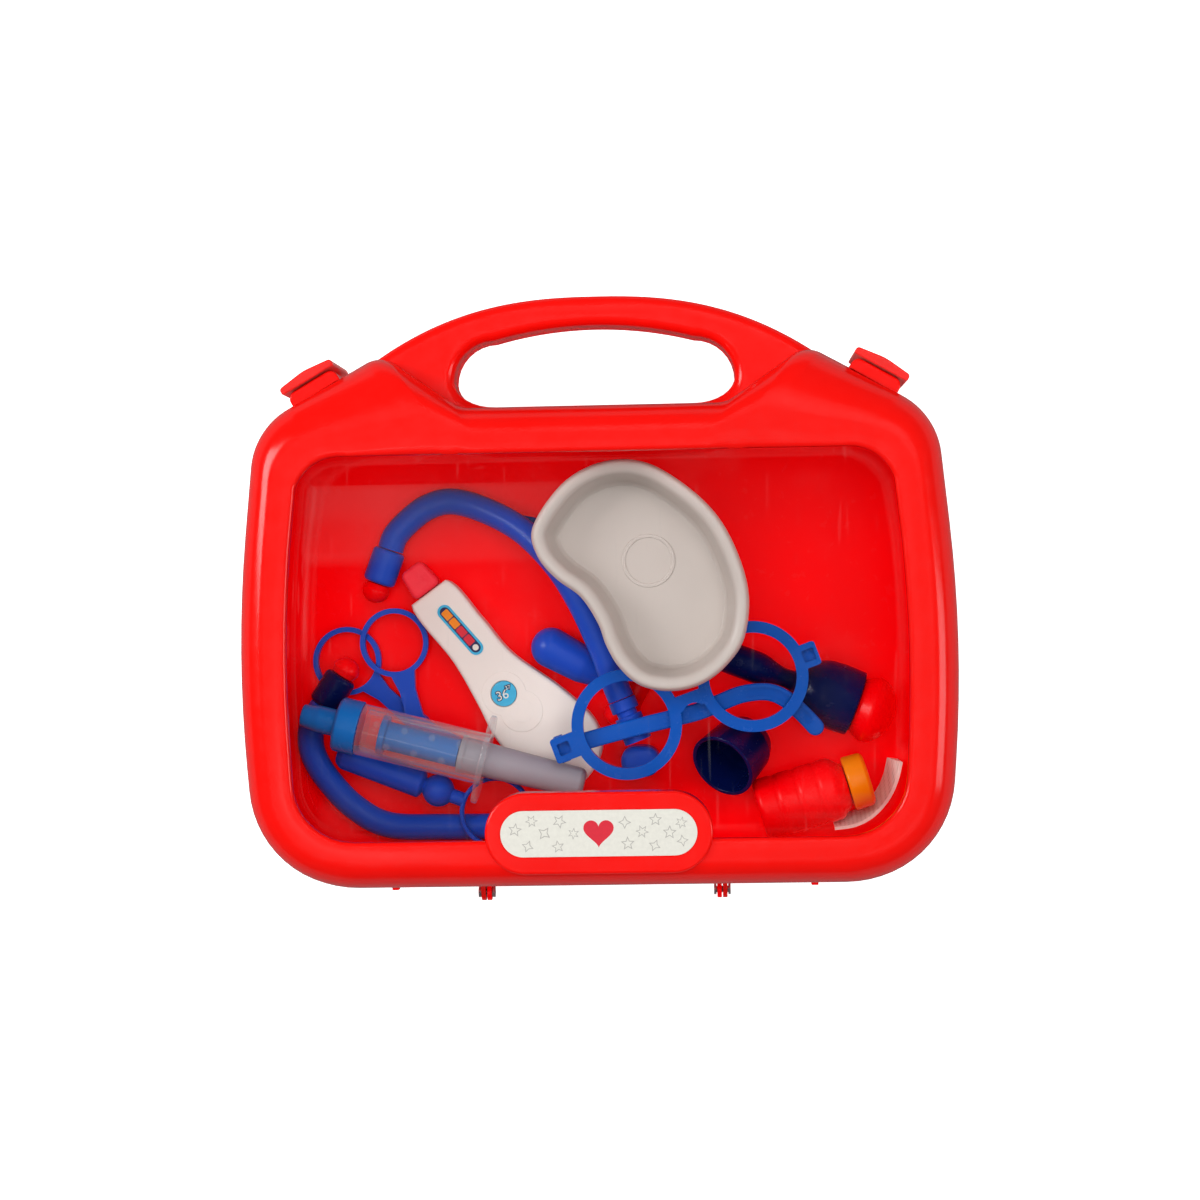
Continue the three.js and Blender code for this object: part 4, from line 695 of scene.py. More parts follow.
def eased_profile(profile, radius=0.5, steps=4):
    """A turned piece's profile (radius, along) with its inner corners rounded."""
    places = [Vector(p) for p in profile]
    eased = [places[0]]
    for before, here, after in zip(places, places[1:], places[2:]):
        a, b = before - here, after - here
        reach = min(radius, a.length * 0.45, b.length * 0.45)
        if reach < 0.02 or a.length < 0.01 or b.length < 0.01:
            eased.append(here)
            continue
        start, end = here + a.normalized() * reach, here + b.normalized() * reach
        eased += [start.lerp(here, k / steps).lerp(here.lerp(end, k / steps), k / steps) for k in range(steps + 1)]
    return eased + [places[-1]]


def turned(name, profile, start, toward, radius=0.5, segments=56):
    """A turned piece: circles extruded along the way from `start` to `toward`."""
    turn = (toward - start).normalized().to_track_quat("Z", "Y")
    rings = []
    for reach, along in eased_profile(profile, radius):
        reach = max(reach, 0.06)
        rings.append([spot(start + turn @ Vector((reach * math.cos(math.tau * i / segments),
                                                  reach * math.sin(math.tau * i / segments), along)))
                      for i in range(segments)])
    return drawn_skin(name, rings)


def tube(name, places, radius, samples=120, segments=28):
    """A round bar along a smooth path, from a bevelled curve, with rounded ends."""
    curve = bpy.data.curves.new(name, "CURVE")
    curve.dimensions = "3D"
    spline = curve.splines.new("POLY")
    points = spline_points(places, samples)
    spline.points.add(len(points) - 1)
    for point, place in zip(spline.points, points):
        point.co = (*spot(place), 1)
    curve.bevel_depth = radius * MM
    curve.bevel_resolution = segments // 4
    curve.use_fill_caps = True
    return soften(face_outwards(as_mesh(name, curve)), 0.8 * MM, 3, 60)


# Stands a plate up, so that it is drawn in (Y, Z) and has its thickness along X
UPRIGHT = Matrix.Rotation(math.pi / 2, 4, "Z") @ Matrix.Rotation(math.pi / 2, 4, "X")


def cross_plate(name, outline, thickness, x, edge=0.25):
    """A plate drawn in (Y, Z) and given thickness along X."""
    obj = loose_plate(name, [outline], 0, thickness, edge, 2)
    obj.matrix_world = Matrix.Translation((x * MM, BOTTOM_EDGE, 0)) @ UPRIGHT
    return set_in_place(obj)


def case_outline():
    return rounded(both_halves(CASE_CORNERS))


def ears(front):
    """The hinge ears of one shell: each is a round about the pin and a root that joins it to the shell."""
    radius, thickness, clearance, root_y = 3.1, 1.7, 0.2, 1.6
    side = 1 if front else -1
    made = []
    for place in HINGE_PLACES:
        outward = (place < 0) == front
        x = place + (-clearance - thickness if outward else clearance)
        root = flat((root_y, PARTING + (GAP if front else -GAP)), (root_y, PARTING + side * 8),
                    (HINGE_Y - 2.6, PARTING + side * 1.7), (HINGE_Y, PARTING))
        if (root[1].y - root[0].y) * side < 0:
            root.reverse()
        made += [cross_plate("hinge_ear", outline, thickness, x)
                 for outline in (circle_points(radius, 28, HINGE_Y, PARTING), root)]
    return made


def handle_half(name, low, high):
    """Half of the arched handle, its outer rims rounded, cut off at the parting line."""
    half, hole_arch, hole_half, hole_bulge = 82, 142, 37, 15
    top, depth = user_size("handle_top"), user_size("handle_depth")
    shares = [1 - i / 28 for i in range(57)]
    outer = flat((-half, 158), (half, 158)) + [
        Vector((half * share, top - user_size("handle_fall") * abs(share) ** 2.5)) for share in shares]
    hole_centre = top - user_size("handle_bar") - hole_arch
    hole_shoulder = hole_centre + math.sqrt(hole_arch ** 2 - hole_half ** 2)
    hole_foot = CASE_CORNERS[4][1] + GAP
    side_height = hole_shoulder - hole_bulge
    ends = {-1: [], 1: []}
    for sign, points in ends.items():
        for turn in (math.pi * i / 16 for i in range(1, 16)):
            drop = hole_shoulder - side_height if turn < math.pi / 2 else side_height - hole_foot
            points.append(Vector((sign * (hole_half + hole_bulge * math.sin(turn)),
                                  side_height + drop * math.cos(turn))))
    hole = (arch(hole_arch, hole_centre, hole_half, 36) + ends[-1]
            + flat((-hole_half, hole_foot), (hole_half, hole_foot)) + ends[1][::-1])
    arched = flat_plate(name, [outer, hole], PARTING - depth / 2, PARTING + depth / 2, 3.8, 5)
    keep = flat_plate("keep", [flat((-140, 100), (140, 100), (140, 260), (-140, 260))], low, high)
    return cut_with(arched, keep, operation="INTERSECT")


# The case's operators

class DOCTORCASE_OT_front_frame(bpy.types.Operator):
    """The lid's moulded frame with its half of the handle, the name pad, hinge ears and latch bosses"""
    bl_idname = "doctor_case.front_frame"
    bl_label = "Front frame"

    def execute(self, context):
        outline = case_outline()
        window = follow(outline, rounded(both_halves(WINDOW_CORNERS), 8))
        depth = LID_TOP - PARTING
        rings = [level(between(outline, window, share), PARTING + rise * depth)
                 for share, rise in LID_OUTSIDE + LID_INSIDE]
        frame_skin = drawn_skin("front_frame_skin", rings, looped=True)
        inside = drawn_skin("lid_inside", [
            level(between(outline, window, share), PARTING - 1 + rise * (depth + 1))
            for share, rise in LID_INSIDE[1:][::-1]])
        handle = cut_with(handle_half("front_handle", PARTING, PARTING + 20), inside)
        middle = user_size("pad_middle")
        pad_outline = stadium(user_size("pad_length") / 2, user_size("pad_height"), middle, 28)
        pad = flat_plate("name_pad", [pad_outline], LID_TOP - 8, PAD_TOP, 1.1, 4)
        pad = cut_with(pad, flat_plate("pocket", [stadium(35.6, 17.2, middle, 28)], LABEL_SEAT, LID_TOP + 3))
        bosses = []
        for sign in (-1, 1):
            shape = rounded([(-10, -2, 0.3), (10, -2, 0.3), (10, 3.4, 3), (-10, 3.4, 3)], 8)
            boss = loose_plate("latch_boss", [shape], 44.5, 60, 0.7, 3)
            bosses.append(placed(boss, sign * LATCH_X, LATCH_Y, turn=-sign * SHOULDER_SLOPE))
        whole = joined("front_frame_moulding", frame_skin, handle, pad, *bosses, *ears(True))
        finish_piece(whole, "frame_polypropylene", "front_frame", "lid", smooth=40)
        return {"FINISHED"}


class DOCTORCASE_OT_rear_shell(bpy.types.Operator):
    """The deep back shell with its half of the handle, hinge ears, feet and latch lugs"""
    bl_idname = "doctor_case.rear_shell"
    bl_label = "Rear shell"

    def execute(self, context):
        outline = case_outline()
        back = follow(outline, rounded(both_halves(BACK_CORNERS), 8))
        inner_body, inner_back = inset(outline, WALL), inset(back, WALL)
        top = PARTING - GAP
        outside = [level(between(outline, back, share), rise * top) for share, rise in REAR_OUTSIDE]
        inside = [level(between(inner_body, inner_back, share), WALL + rise * (PARTING - WALL + 1))
                  for share, rise in REAR_OUTSIDE]
        rim = [level(inner_body, top)]
        within = [level(between(inner_body, inner_back, share), WALL + rise * (top - WALL))
                  for share, rise in REAR_OUTSIDE[::-1]]
        cup = drawn_skin("rear_cup", outside + rim + within[1:])
        hollow = drawn_skin("rear_inside", inside)
        handle = cut_with(handle_half("rear_handle", PARTING - 20, top), hollow)
        foot = flat((1.6, top - 6), (1.6, top), (-2.6, top), (-2.6, top - 3))
        feet = [cross_plate("foot", foot, 2.6, x - 1.3) for x in (-78.5, 78.5)]
        lugs = []
        for sign in (-1, 1):
            for place in (-7.5, 7.5):
                nose = [on_circle(1.8, a, LATCH_PIN_OUT, LATCH_PIN_HEIGHT) for a in (-1.2, -0.6, 0, 0.6, 1.2)]
                shape = flat((-3, 23.4), (1.9, 25.2)) + nose + flat((1.9, 28.8), (-3, 30.6))
                lug = loose_plate("latch_lug", [shape], 0, 2.2, 0.25, 2)
                lug.matrix_world = (
                    Matrix.Translation(spot(Vector((sign * LATCH_X, LATCH_Y, 0))))
                    @ Matrix.Rotation(-sign * SHOULDER_SLOPE, 4, "Z")
                    @ Matrix.Translation(((place - 1.1) * MM, 0, 0)) @ UPRIGHT)
                lugs.append(set_in_place(lug))
        whole = joined("rear_shell_moulding", cup, handle, *feet, *lugs, *ears(False))
        finish_piece(whole, "shell_polypropylene", "rear_shell", smooth=40)
        return {"FINISHED"}


class DOCTORCASE_OT_window(bpy.types.Operator):
    """The clear formed pane, and the printed label in the name pad's recess"""
    bl_idname = "doctor_case.window"
    bl_label = "Window and label"

    def execute(self, context):
        window = follow(case_outline(), rounded(both_halves(WINDOW_CORNERS), 8))
        seat = PARTING + 0.9 * (LID_TOP - PARTING)
        hole, outside = inset(window, GAP + WALL / 2), inset(window, -4)
        shoulder = inset(window, GAP + WALL)
        thick, rise = 0.8, 1.6
        pane = drawn_skin("clear_pane", [
            level(inset(hole, thick), seat - thick), level(outside, seat - thick), level(outside, seat),
            level(hole, seat), level(between(hole, shoulder, 0.3), seat + rise * 0.7), level(shoulder, seat + rise),
            level(inset(shoulder, thick), seat + rise), level(inset(shoulder, 3), seat + rise),
            level(inset(shoulder, 3), seat + rise - thick),
            level(inset(shoulder, thick), seat + rise - thick),
        ], looped=True)
        sheet = flat_plate("pane_sheet", [inset(shoulder, 3)], seat + rise - thick, seat + rise)
        pane = joined("clear_pane", pane, sheet)
        middle = user_size("pad_middle")
        room = flat_plate("pad_room", [stadium(41 + GAP, user_size("pad_height") + 2 * GAP, middle, 28)], LID_TOP - 9,
                          LID_TOP + 3)
        pane = cut_with(face_outwards(pane), room)
        finish_piece(pane, "clear_pet_window", "window_pane", "lid", smooth=3)

        label = painted(flat_plate("label", [stadium(35.3, 16.6, middle, 28)], LABEL_SEAT, PAD_TOP, 0.06, 1),
                        "label_vinyl")
        ink = 0.03
        heart = [Vector((16 * math.sin(t) ** 3, 13 * math.cos(t) - 5 * math.cos(2 * t) - 2 * math.cos(3 * t)
                         - math.cos(4 * t))) for t in (math.tau * i / 64 for i in range(64))]
        prints = [painted(flat_plate("heart", [[Vector((p.x * 0.34, p.y * 0.34 + middle + 0.6)) for p in heart]],
                                     PAD_TOP, PAD_TOP + ink), "red_ink")]
        for x, y, size, arms in LABEL_MOTIFS:
            star = [[on_circle(reach * (0.45 if i % 2 else 1), math.pi * i / arms + x, x, middle + y)
                     for i in range(2 * arms)] for reach in (size, size * 0.74)]
            prints.append(painted(flat_plate("motif", star, PAD_TOP, PAD_TOP + ink), "grey_ink"))
        label = joined("printed_name_label", label, *prints)
        stands_for(settle(label, 30), "lid", "name_label")
        return {"FINISHED"}


LABEL_MOTIFS = [
    (-30, 1.5, 2.6, 5), (-25.5, -4.4, 2.3, 4), (-24, 4.6, 2.4, 6), (-19.5, 0.2, 2.6, 4), (-14.6, -4.6, 2.4, 5),
    (-14, 4.4, 2.6, 5), (-9, 0, 2.2, 6), (9.4, 3.8, 2.4, 4), (10.4, -3.8, 2.6, 5), (15.6, 0.4, 2.5, 6),
    (20, -4.6, 2.3, 4), (20.4, 4.6, 2.5, 5), (25.4, 0, 2.6, 5), (30, -3, 2.2, 4), (29.6, 3.4, 2.3, 6),
]


class DOCTORCASE_OT_latches(bpy.types.Operator):
    """The snap latches on the shoulders, and the finishes of the steel pins"""
    bl_idname = "doctor_case.latches"
    bl_label = "Latches and pins"

    def execute(self, context):
        for side, sign in (("left", -1), ("right", 1)):
            outline = rounded([(-11, 4, 0.6), (11, 4, 0.6), (11, 6.6, 1.3), (0, 7.9, 22), (-11, 6.6, 1.3)], 10)
            plate = loose_plate("latch_plate", [outline], 24.6, 62, 0.55, 3)
            parts = [placed(plate, sign * LATCH_X, LATCH_Y, turn=-sign * SHOULDER_SLOPE)]
            along = Vector((math.cos(SHOULDER_SLOPE), -sign * math.sin(SHOULDER_SLOPE), 0))
            out = Vector((sign * math.sin(SHOULDER_SLOPE), math.cos(SHOULDER_SLOPE), 0))
            base = Vector((sign * LATCH_X, LATCH_Y, 0))
            for radius, proud, height in ((2.5, LATCH_PIN_OUT, LATCH_PIN_HEIGHT), (0.6, 4.3, 56)):
                start = base + out * proud - along * 6 + Vector((0, 0, height))
                parts.append(turned("latch_bar", [(0, 0), (radius, 0), (radius, 12), (0, 12)], start,
                                    start + along, 0.3, 24))
            neck = loose_plate("latch_neck", [flat((-6, 1.9), (6, 1.9), (6, 4.6), (-6, 4.6))], 25.2, 28.8, 0.2, 2)
            parts.append(placed(neck, sign * LATCH_X, LATCH_Y, turn=-sign * SHOULDER_SLOPE))
            latch = joined(f"latch_{side}_moulding", *parts)
            finish_piece(latch, "latch_polypropylene", f"latch_{side}", f"latch_{side}_body", smooth=40)
            for pin in (f"latch_pin_{side}", f"hinge_pin_{side}"):
                painted(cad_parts[pin], "steel_wire")
        return {"FINISHED"}


# The toys' operators

class DOCTORCASE_OT_stethoscope(bpy.types.Operator):
    """The moulded stethoscope: two arms, collars, ear tips, a ribbed yoke and its stem"""
    bl_idname = "doctor_case.stethoscope"
    bl_label = "Stethoscope"

    def execute(self, context):
        upper = [(-0.758, 0.768), (-0.742, 0.806), (-0.695, 0.847), (-0.628, 0.885), (-0.54, 0.9), (-0.418, 0.873),
                 (-0.279, 0.812), (-0.154, 0.713), (-0.068, 0.603), (0, 0.48), (0.035, 0.4), (0.062, 0.345)]
        upper_climb = [0, 0, 0, 0, 0, 0.15, 0.5, 0.85, 1, 1, 1, 1]
        lower = [(0.25, 0.06), (0.17, 0.012), (0, -0.008), (-0.279, -0.01), (-0.58, -0.01), (-0.78, -0.002),
                 (-0.9, 0.05), (-0.985, 0.125), (-1.03, 0.19), (-1.04, 0.245), (-1.025, 0.295), (-0.99, 0.335)]
        lower_climb = [0, 0, 0, 0, 0, 0, 0.1, 0.35, 0.65, 0.9, 1, 1]
        upper_path = [at(p, TUBE_LOW + c * (TUBE_HIGH - TUBE_LOW)) for p, c in zip(upper, upper_climb)]
        lower_path = [at(p, TUBE_LOW + c * (TUBE_END - TUBE_LOW)) for p, c in zip(lower, lower_climb)]
        for name, path in (("upper", upper_path), ("lower", lower_path)):
            arm = tube(f"stethoscope_{name}_tube", path, TUBE_RADIUS)
            finish_piece(arm, "royal_blue_polyethylene", f"stethoscope_arm_{name}")
        lift = Vector((0, 0, COLLAR_RADIUS - TUBE_RADIUS))
        for name, before, end, finish in (
                ("upper", upper_path[1] + lift, upper_path[0] + lift, "royal_blue_polyethylene"),
                ("lower", lower_path[-2], lower_path[-1], "navy_polypropylene")):
            onward = (end - before).normalized()
            start = end + onward * GAP
            sleeve = [(0, 0), (5.5, 0), (COLLAR_RADIUS, 0.9), (COLLAR_RADIUS, 12.4), (5.4, 13.5), (0, 13.5)]
            collar = turned(f"collar_{name}", sleeve, start, start + onward, 0.6)
            finish_piece(collar, finish, f"stethoscope_collar_{name}")
            tip_start = start + onward * (13.5 + GAP)
            tip = turned(f"ear_tip_{name}", [(0, 0), (4.32, 0)] + dome(5.4, 2.5, 5, 12), tip_start,
                         tip_start + onward, 0.3)
            finish_piece(tip, "red_toy_polyethylene", f"stethoscope_ear_tip_{name}")
        onward = (upper_path[-1] - upper_path[-2]).normalized()
        start = upper_path[-1] + onward * GAP
        ribs = [(0, 0), (5.35, 0)]
        for place in (4.4, 9.8):
            ribs += [(5.35, place), (3.9, place + 0.1), (3.9, place + 2.2), (5.35, place + 2.3)]
        yoke = turned("ribbed_yoke", ribs + [(5.35, 17), (0, 17)], start, start + onward, 0.35)
        finish_piece(yoke, "royal_blue_polyethylene", "stethoscope_yoke")
        middle = at((0.123, 0.169))
        corners = [(middle.x + a * 7.5, middle.y + b * 6, 5.6) for a, b in ((-1, -1), (1, -1), (1, 1), (-1, 1))]
        stem = flat_plate("stem_block", [rounded(corners, 6)], FLOOR, TUBE_HIGH - 5.35 - GAP, 2.6, 6)
        finish_piece(stem, "royal_blue_polyethylene", "stethoscope_stem", smooth=35)
        return {"FINISHED"}


class DOCTORCASE_OT_thermometer(bpy.types.Operator):
    """The white two-shell thermometer with its dial, scale and soft tip"""
    bl_idname = "doctor_case.thermometer"
    bl_label = "Thermometer"

    def execute(self, context):
        shares = [(-0.672, 0.612), (-0.554, 0.681), (-0.425, 0.575), (-0.319, 0.475), (-0.15, 0.375),
                  (-0.035, 0.285), (-0.012, 0.2), (-0.07, 0.12), (-0.16, 0.09), (-0.27, 0.135), (-0.38, 0.232),
                  (-0.445, 0.335), (-0.525, 0.452)]
        places = [at(s).xy for s in shares]
        curve = spline_points(places, 13 * 8, looped=True)
        outline = ([curve[0]] + curve[8:])[::-1]
        low, half, top = FLOOR, THERMOMETER_DEPTH / 2, FLOOR + THERMOMETER_DEPTH
        dial_place = at((-0.35, 0.362)).xy
        back = flat_plate("thermometer_back_shell", [outline], low, low + half, 1.6, 5)
        finish_piece(back, "white_polypropylene", "thermometer_back", smooth=40)
        front = flat_plate("thermometer_front_shell", [outline], low + half, low + 2 * half, 1.6, 5)
        second = dial_place + Vector((6.8, -6.8))
        for place, radius, rise in ((dial_place, 8.6, 0.22), (second, 8.2, 0.22), (second, 4.6, 0.28)):
            raised = flat_plate("raised_round", [circle_points(radius, 72, *place)], low + 11, top + rise, 0.2, 2)
            front = cut_with(front, raised, operation="UNION")
        front = cut_with(front, flat_plate("dial_room", [circle_points(5.2, 48, *dial_place)], low + 11, low + 14))
        finish_piece(front, "white_polypropylene", "thermometer_front", smooth=40)

        dial_top = low + 12.2
        dial = painted(flat_plate("dial_disc", [circle_points(4.9, 56, *dial_place)], low + 11, dial_top, 0.15, 2),
                       "dial_vinyl")
        numbers = []
        for body, size, x, y in (("36", 5, -0.6, -0.7), ("37", 2.2, 1.5, 2.3)):
            for spread, ink, rise in ((0.32, "navy_ink", 0.01), (0, "label_vinyl", 0.03)):
                number = bpy.data.curves.new("dial_number", "FONT")
                number.body = body
                number.size = size * MM
                number.align_x = number.align_y = "CENTER"
                number.extrude = 0.01 * MM
                number.offset = spread * MM
                text = placed(as_mesh("dial_number", number), dial_place.x + x, dial_place.y + y, dial_top + rise, 0.3)
                numbers.append(painted(text, ink))
        stands_for(settle(joined("printed_dial", dial, *numbers), 30), "dial", "thermometer_dial")

        start, end = at((-0.582, 0.617)), at((-0.415, 0.465))
        middle = start.lerp(end, 0.5)
        base = painted(loose_plate("scale_plate", [stadium(12, 5.6, 0, 20)], 0, 0.4, 0.08, 1),
                       "dial_vinyl")
        prints = [painted(loose_plate("scale_edge", [stadium(11, 3.9, 0, 20)], 0.4, 0.42),
                          "navy_ink")]
        for start_x, ink in ((-9.7, "orange_vinyl"), (-5.4, "orange_vinyl"), (-1.1, "red_ink"), (3.2, "red_ink")):
            end_x = start_x + 3.9
            corners = [(start_x, -1.5, 0.6), (end_x, -1.5, 0.3), (end_x, 1.5, 0.3), (start_x, 1.5, 0.6)]
            prints.append(painted(loose_plate("scale_bar", [rounded(corners, 4)], 0.42, 0.45), ink))
        prints.append(painted(loose_plate("scale_dot", [circle_points(1.2, 24, 9)], 0.42, 0.46),
                              "label_vinyl"))
        scale = placed(joined("printed_scale", base, *prints), middle.x, middle.y, top, heading(start, end))
        stands_for(settle(scale, 30), "rear", "thermometer_scale")

        left, right = at(shares[0]), at(shares[1])
        root = left.lerp(right, 0.5)
        aim = heading(left, right) + math.pi / 2
        shape = rounded([(GAP, -6.3, 2.2), (GAP, 6.3, 2.2), (12, 4.85, 2.5), (12, -4.85, 2.5)][::-1], 8)
        tip = placed(loose_plate("soft_tip", [shape], GAP, 12.1, 1.6, 4), root.x, root.y, low, aim)
        finish_piece(tip, "soft_tip_polyethylene", "thermometer_tip", smooth=35)
        return {"FINISHED"}


class DOCTORCASE_OT_syringe(bpy.types.Operator):
    """The syringe: nozzle and collar, clear barrel with its flange, blue piston and grey rod"""
    bl_idname = "doctor_case.syringe"
    bl_label = "Syringe"

    def execute(self, context):
        nose = at((-1.045, 0.317), SYRINGE_HEIGHT)
        slope = -math.radians(14.6)
        ahead = nose + Vector((math.cos(slope), math.sin(slope), 0))
        collar_end, barrel_length, piston_length, bore = 23, 50, 31, 8.4
        barrel_start = collar_end + GAP
        barrel_end = barrel_start + barrel_length
        piston = barrel_start + 8
        rod = piston + piston_length + GAP
        rod_end = piston + 38 + GAP + 42
        pieces = (
            ("nozzle", "rear", 0.5, [(0, 0), (3.2, 0), (4.2, 0.4), (5.2, 7), (5.2, 13.4), (5.8, 14), (9.5, 14),
                                     (10.5, 15), (10.5, collar_end), (0, collar_end)], "nozzle_polypropylene"),
            ("piston", "plunger", 0.5, [(0, piston), (7.8, piston), (7.8, piston + 2.4), (5.5, piston + 2.8),
                                        (5.5, rod - GAP), (0, rod - GAP)], "piston_polypropylene"),
            ("rod", "plunger", 0.7, [(0, rod), (7.4, rod), (7.4, rod + 2), (6.9, rod + 2.6), (6.7, rod + 8),
                                     (5.8, rod_end - 1.4), (4.4, rod_end), (0, rod_end)], "grey_rod_polypropylene"),
        )
        for name, body, edge, profile, finish in pieces:
            piece = turned(f"syringe_{name}_moulding", profile, nose, ahead, edge)
            finish_piece(piece, finish, f"syringe_{name}", body)
        barrel = turned("syringe_barrel_tube", [
            (0, barrel_start), (9.9, barrel_start), (9.9, barrel_end), (bore, barrel_end),
            (bore, barrel_start + 2), (0, barrel_start + 2)], nose, ahead, 0.3, 72)
        aim = (ahead - nose).normalized()
        across = Vector((-aim.y, aim.x, 0))
        marks = []
        for k in range(7):
            lean = math.radians((24, -20)[k % 2])
            outward = across * math.sin(lean) + Vector((0, 0, math.cos(lean)))
            place = nose + aim * (barrel_start + 7 + 5.4 * k) + outward * 9.8
            marks.append(turned("barrel_mark", [(0.8, 0), (1.3, 0), (1.25, 0.35), (0.85, 0.35)], place,
                                place + outward, 0.12, 20))
        turns = [math.tau * i / 72 for i in range(72)]
        oval = [Vector((17.2 * math.cos(turn), FLANGE_RADIUS * math.sin(turn))) for turn in turns]
        flange = loose_plate("syringe_flange", [oval, circle_points(bore, 72)], 0, 2.2, 0.5, 3)
        flange.matrix_world = (Matrix.Translation(spot(nose)) @ Matrix.Rotation(slope, 4, "Z")
                               @ Matrix.Translation(((barrel_end - 2.2) * MM, 0, 0)) @ UPRIGHT)
        whole = joined("syringe_barrel_moulding", barrel, set_in_place(flange), *marks)
        finish_piece(whole, "clear_styrene_barrel", "syringe_barrel")
        return {"FINISHED"}


class DOCTORCASE_OT_scissors(bpy.types.Operator):
    """The toy scissors: two halves crossing on a pin"""
    bl_idname = "doctor_case.scissors"
    bl_label = "Scissors"

    def execute(self, context):
        pivot = at((-0.664, 0.276), FLOOR)
        tip = at((-0.413, 0.181), FLOOR) - pivot
        for name, share, side, low, body in (("lower", (-0.908, 0.458), -1, 0, "rear"),
                                             ("upper", (-0.736, 0.508), 1, 3.5, "scissor_upper")):
            loop = at(share, FLOOR) - pivot
            turn, length = math.atan2(loop.y, loop.x), math.hypot(loop.x, loop.y)
            blade_turn = math.atan2(tip.y, tip.x) - turn
            tip_middle, tip_half = side * 7 / 6, 7 / 12
            spin = Matrix.Rotation(blade_turn, 2)
            blade = [spin @ point for point in flat((0, -3.5), (30, tip_middle - tip_half),
                                                    (30, tip_middle + tip_half), (0, 3.5))]
            shank_end = length - 13.6 + 1.1
            shank = flat((-3.5, -3.5), (shank_end - 7, -3.1), (shank_end + 0.4, -4.8), (shank_end + 0.4, 4.8),
                         (shank_end - 7, 3.1), (-3.5, 3.5))
            half = loose_plate("loop", [circle_points(13.4, 72, length), circle_points(11.4, 72, length)], 0,
                               SCISSOR_THICKNESS)
            for outline in (shank, blade, circle_points(4.6, 40)):
                half = cut_with(half, loose_plate("arm", [outline], 0, SCISSOR_THICKNESS), operation="UNION")
            half = cut_with(half, loose_plate("hole", [circle_points(1.68, 32)], -1, 5))
            half = soften(face_outwards(half), 0.5 * MM, 3, 50)
            placed(half, pivot.x, pivot.y, FLOOR + low, turn)
            half.name = f"scissor_{name}_moulding"
            finish_piece(half, "royal_blue_polyethylene", f"scissor_half_{name}", body, smooth=35)
        pin = turned("scissor_rivet", [(0, 0), (1.6, 0), (1.6, 7), (3.2, 7), (2.9, 7.4), (2, 7.6), (0, 7.6)], pivot,
                     pivot + Vector((0, 0, 1)), 0.2, 36)
        finish_piece(pin, "royal_blue_polyethylene", "scissor_pin", smooth=35)
        return {"FINISHED"}


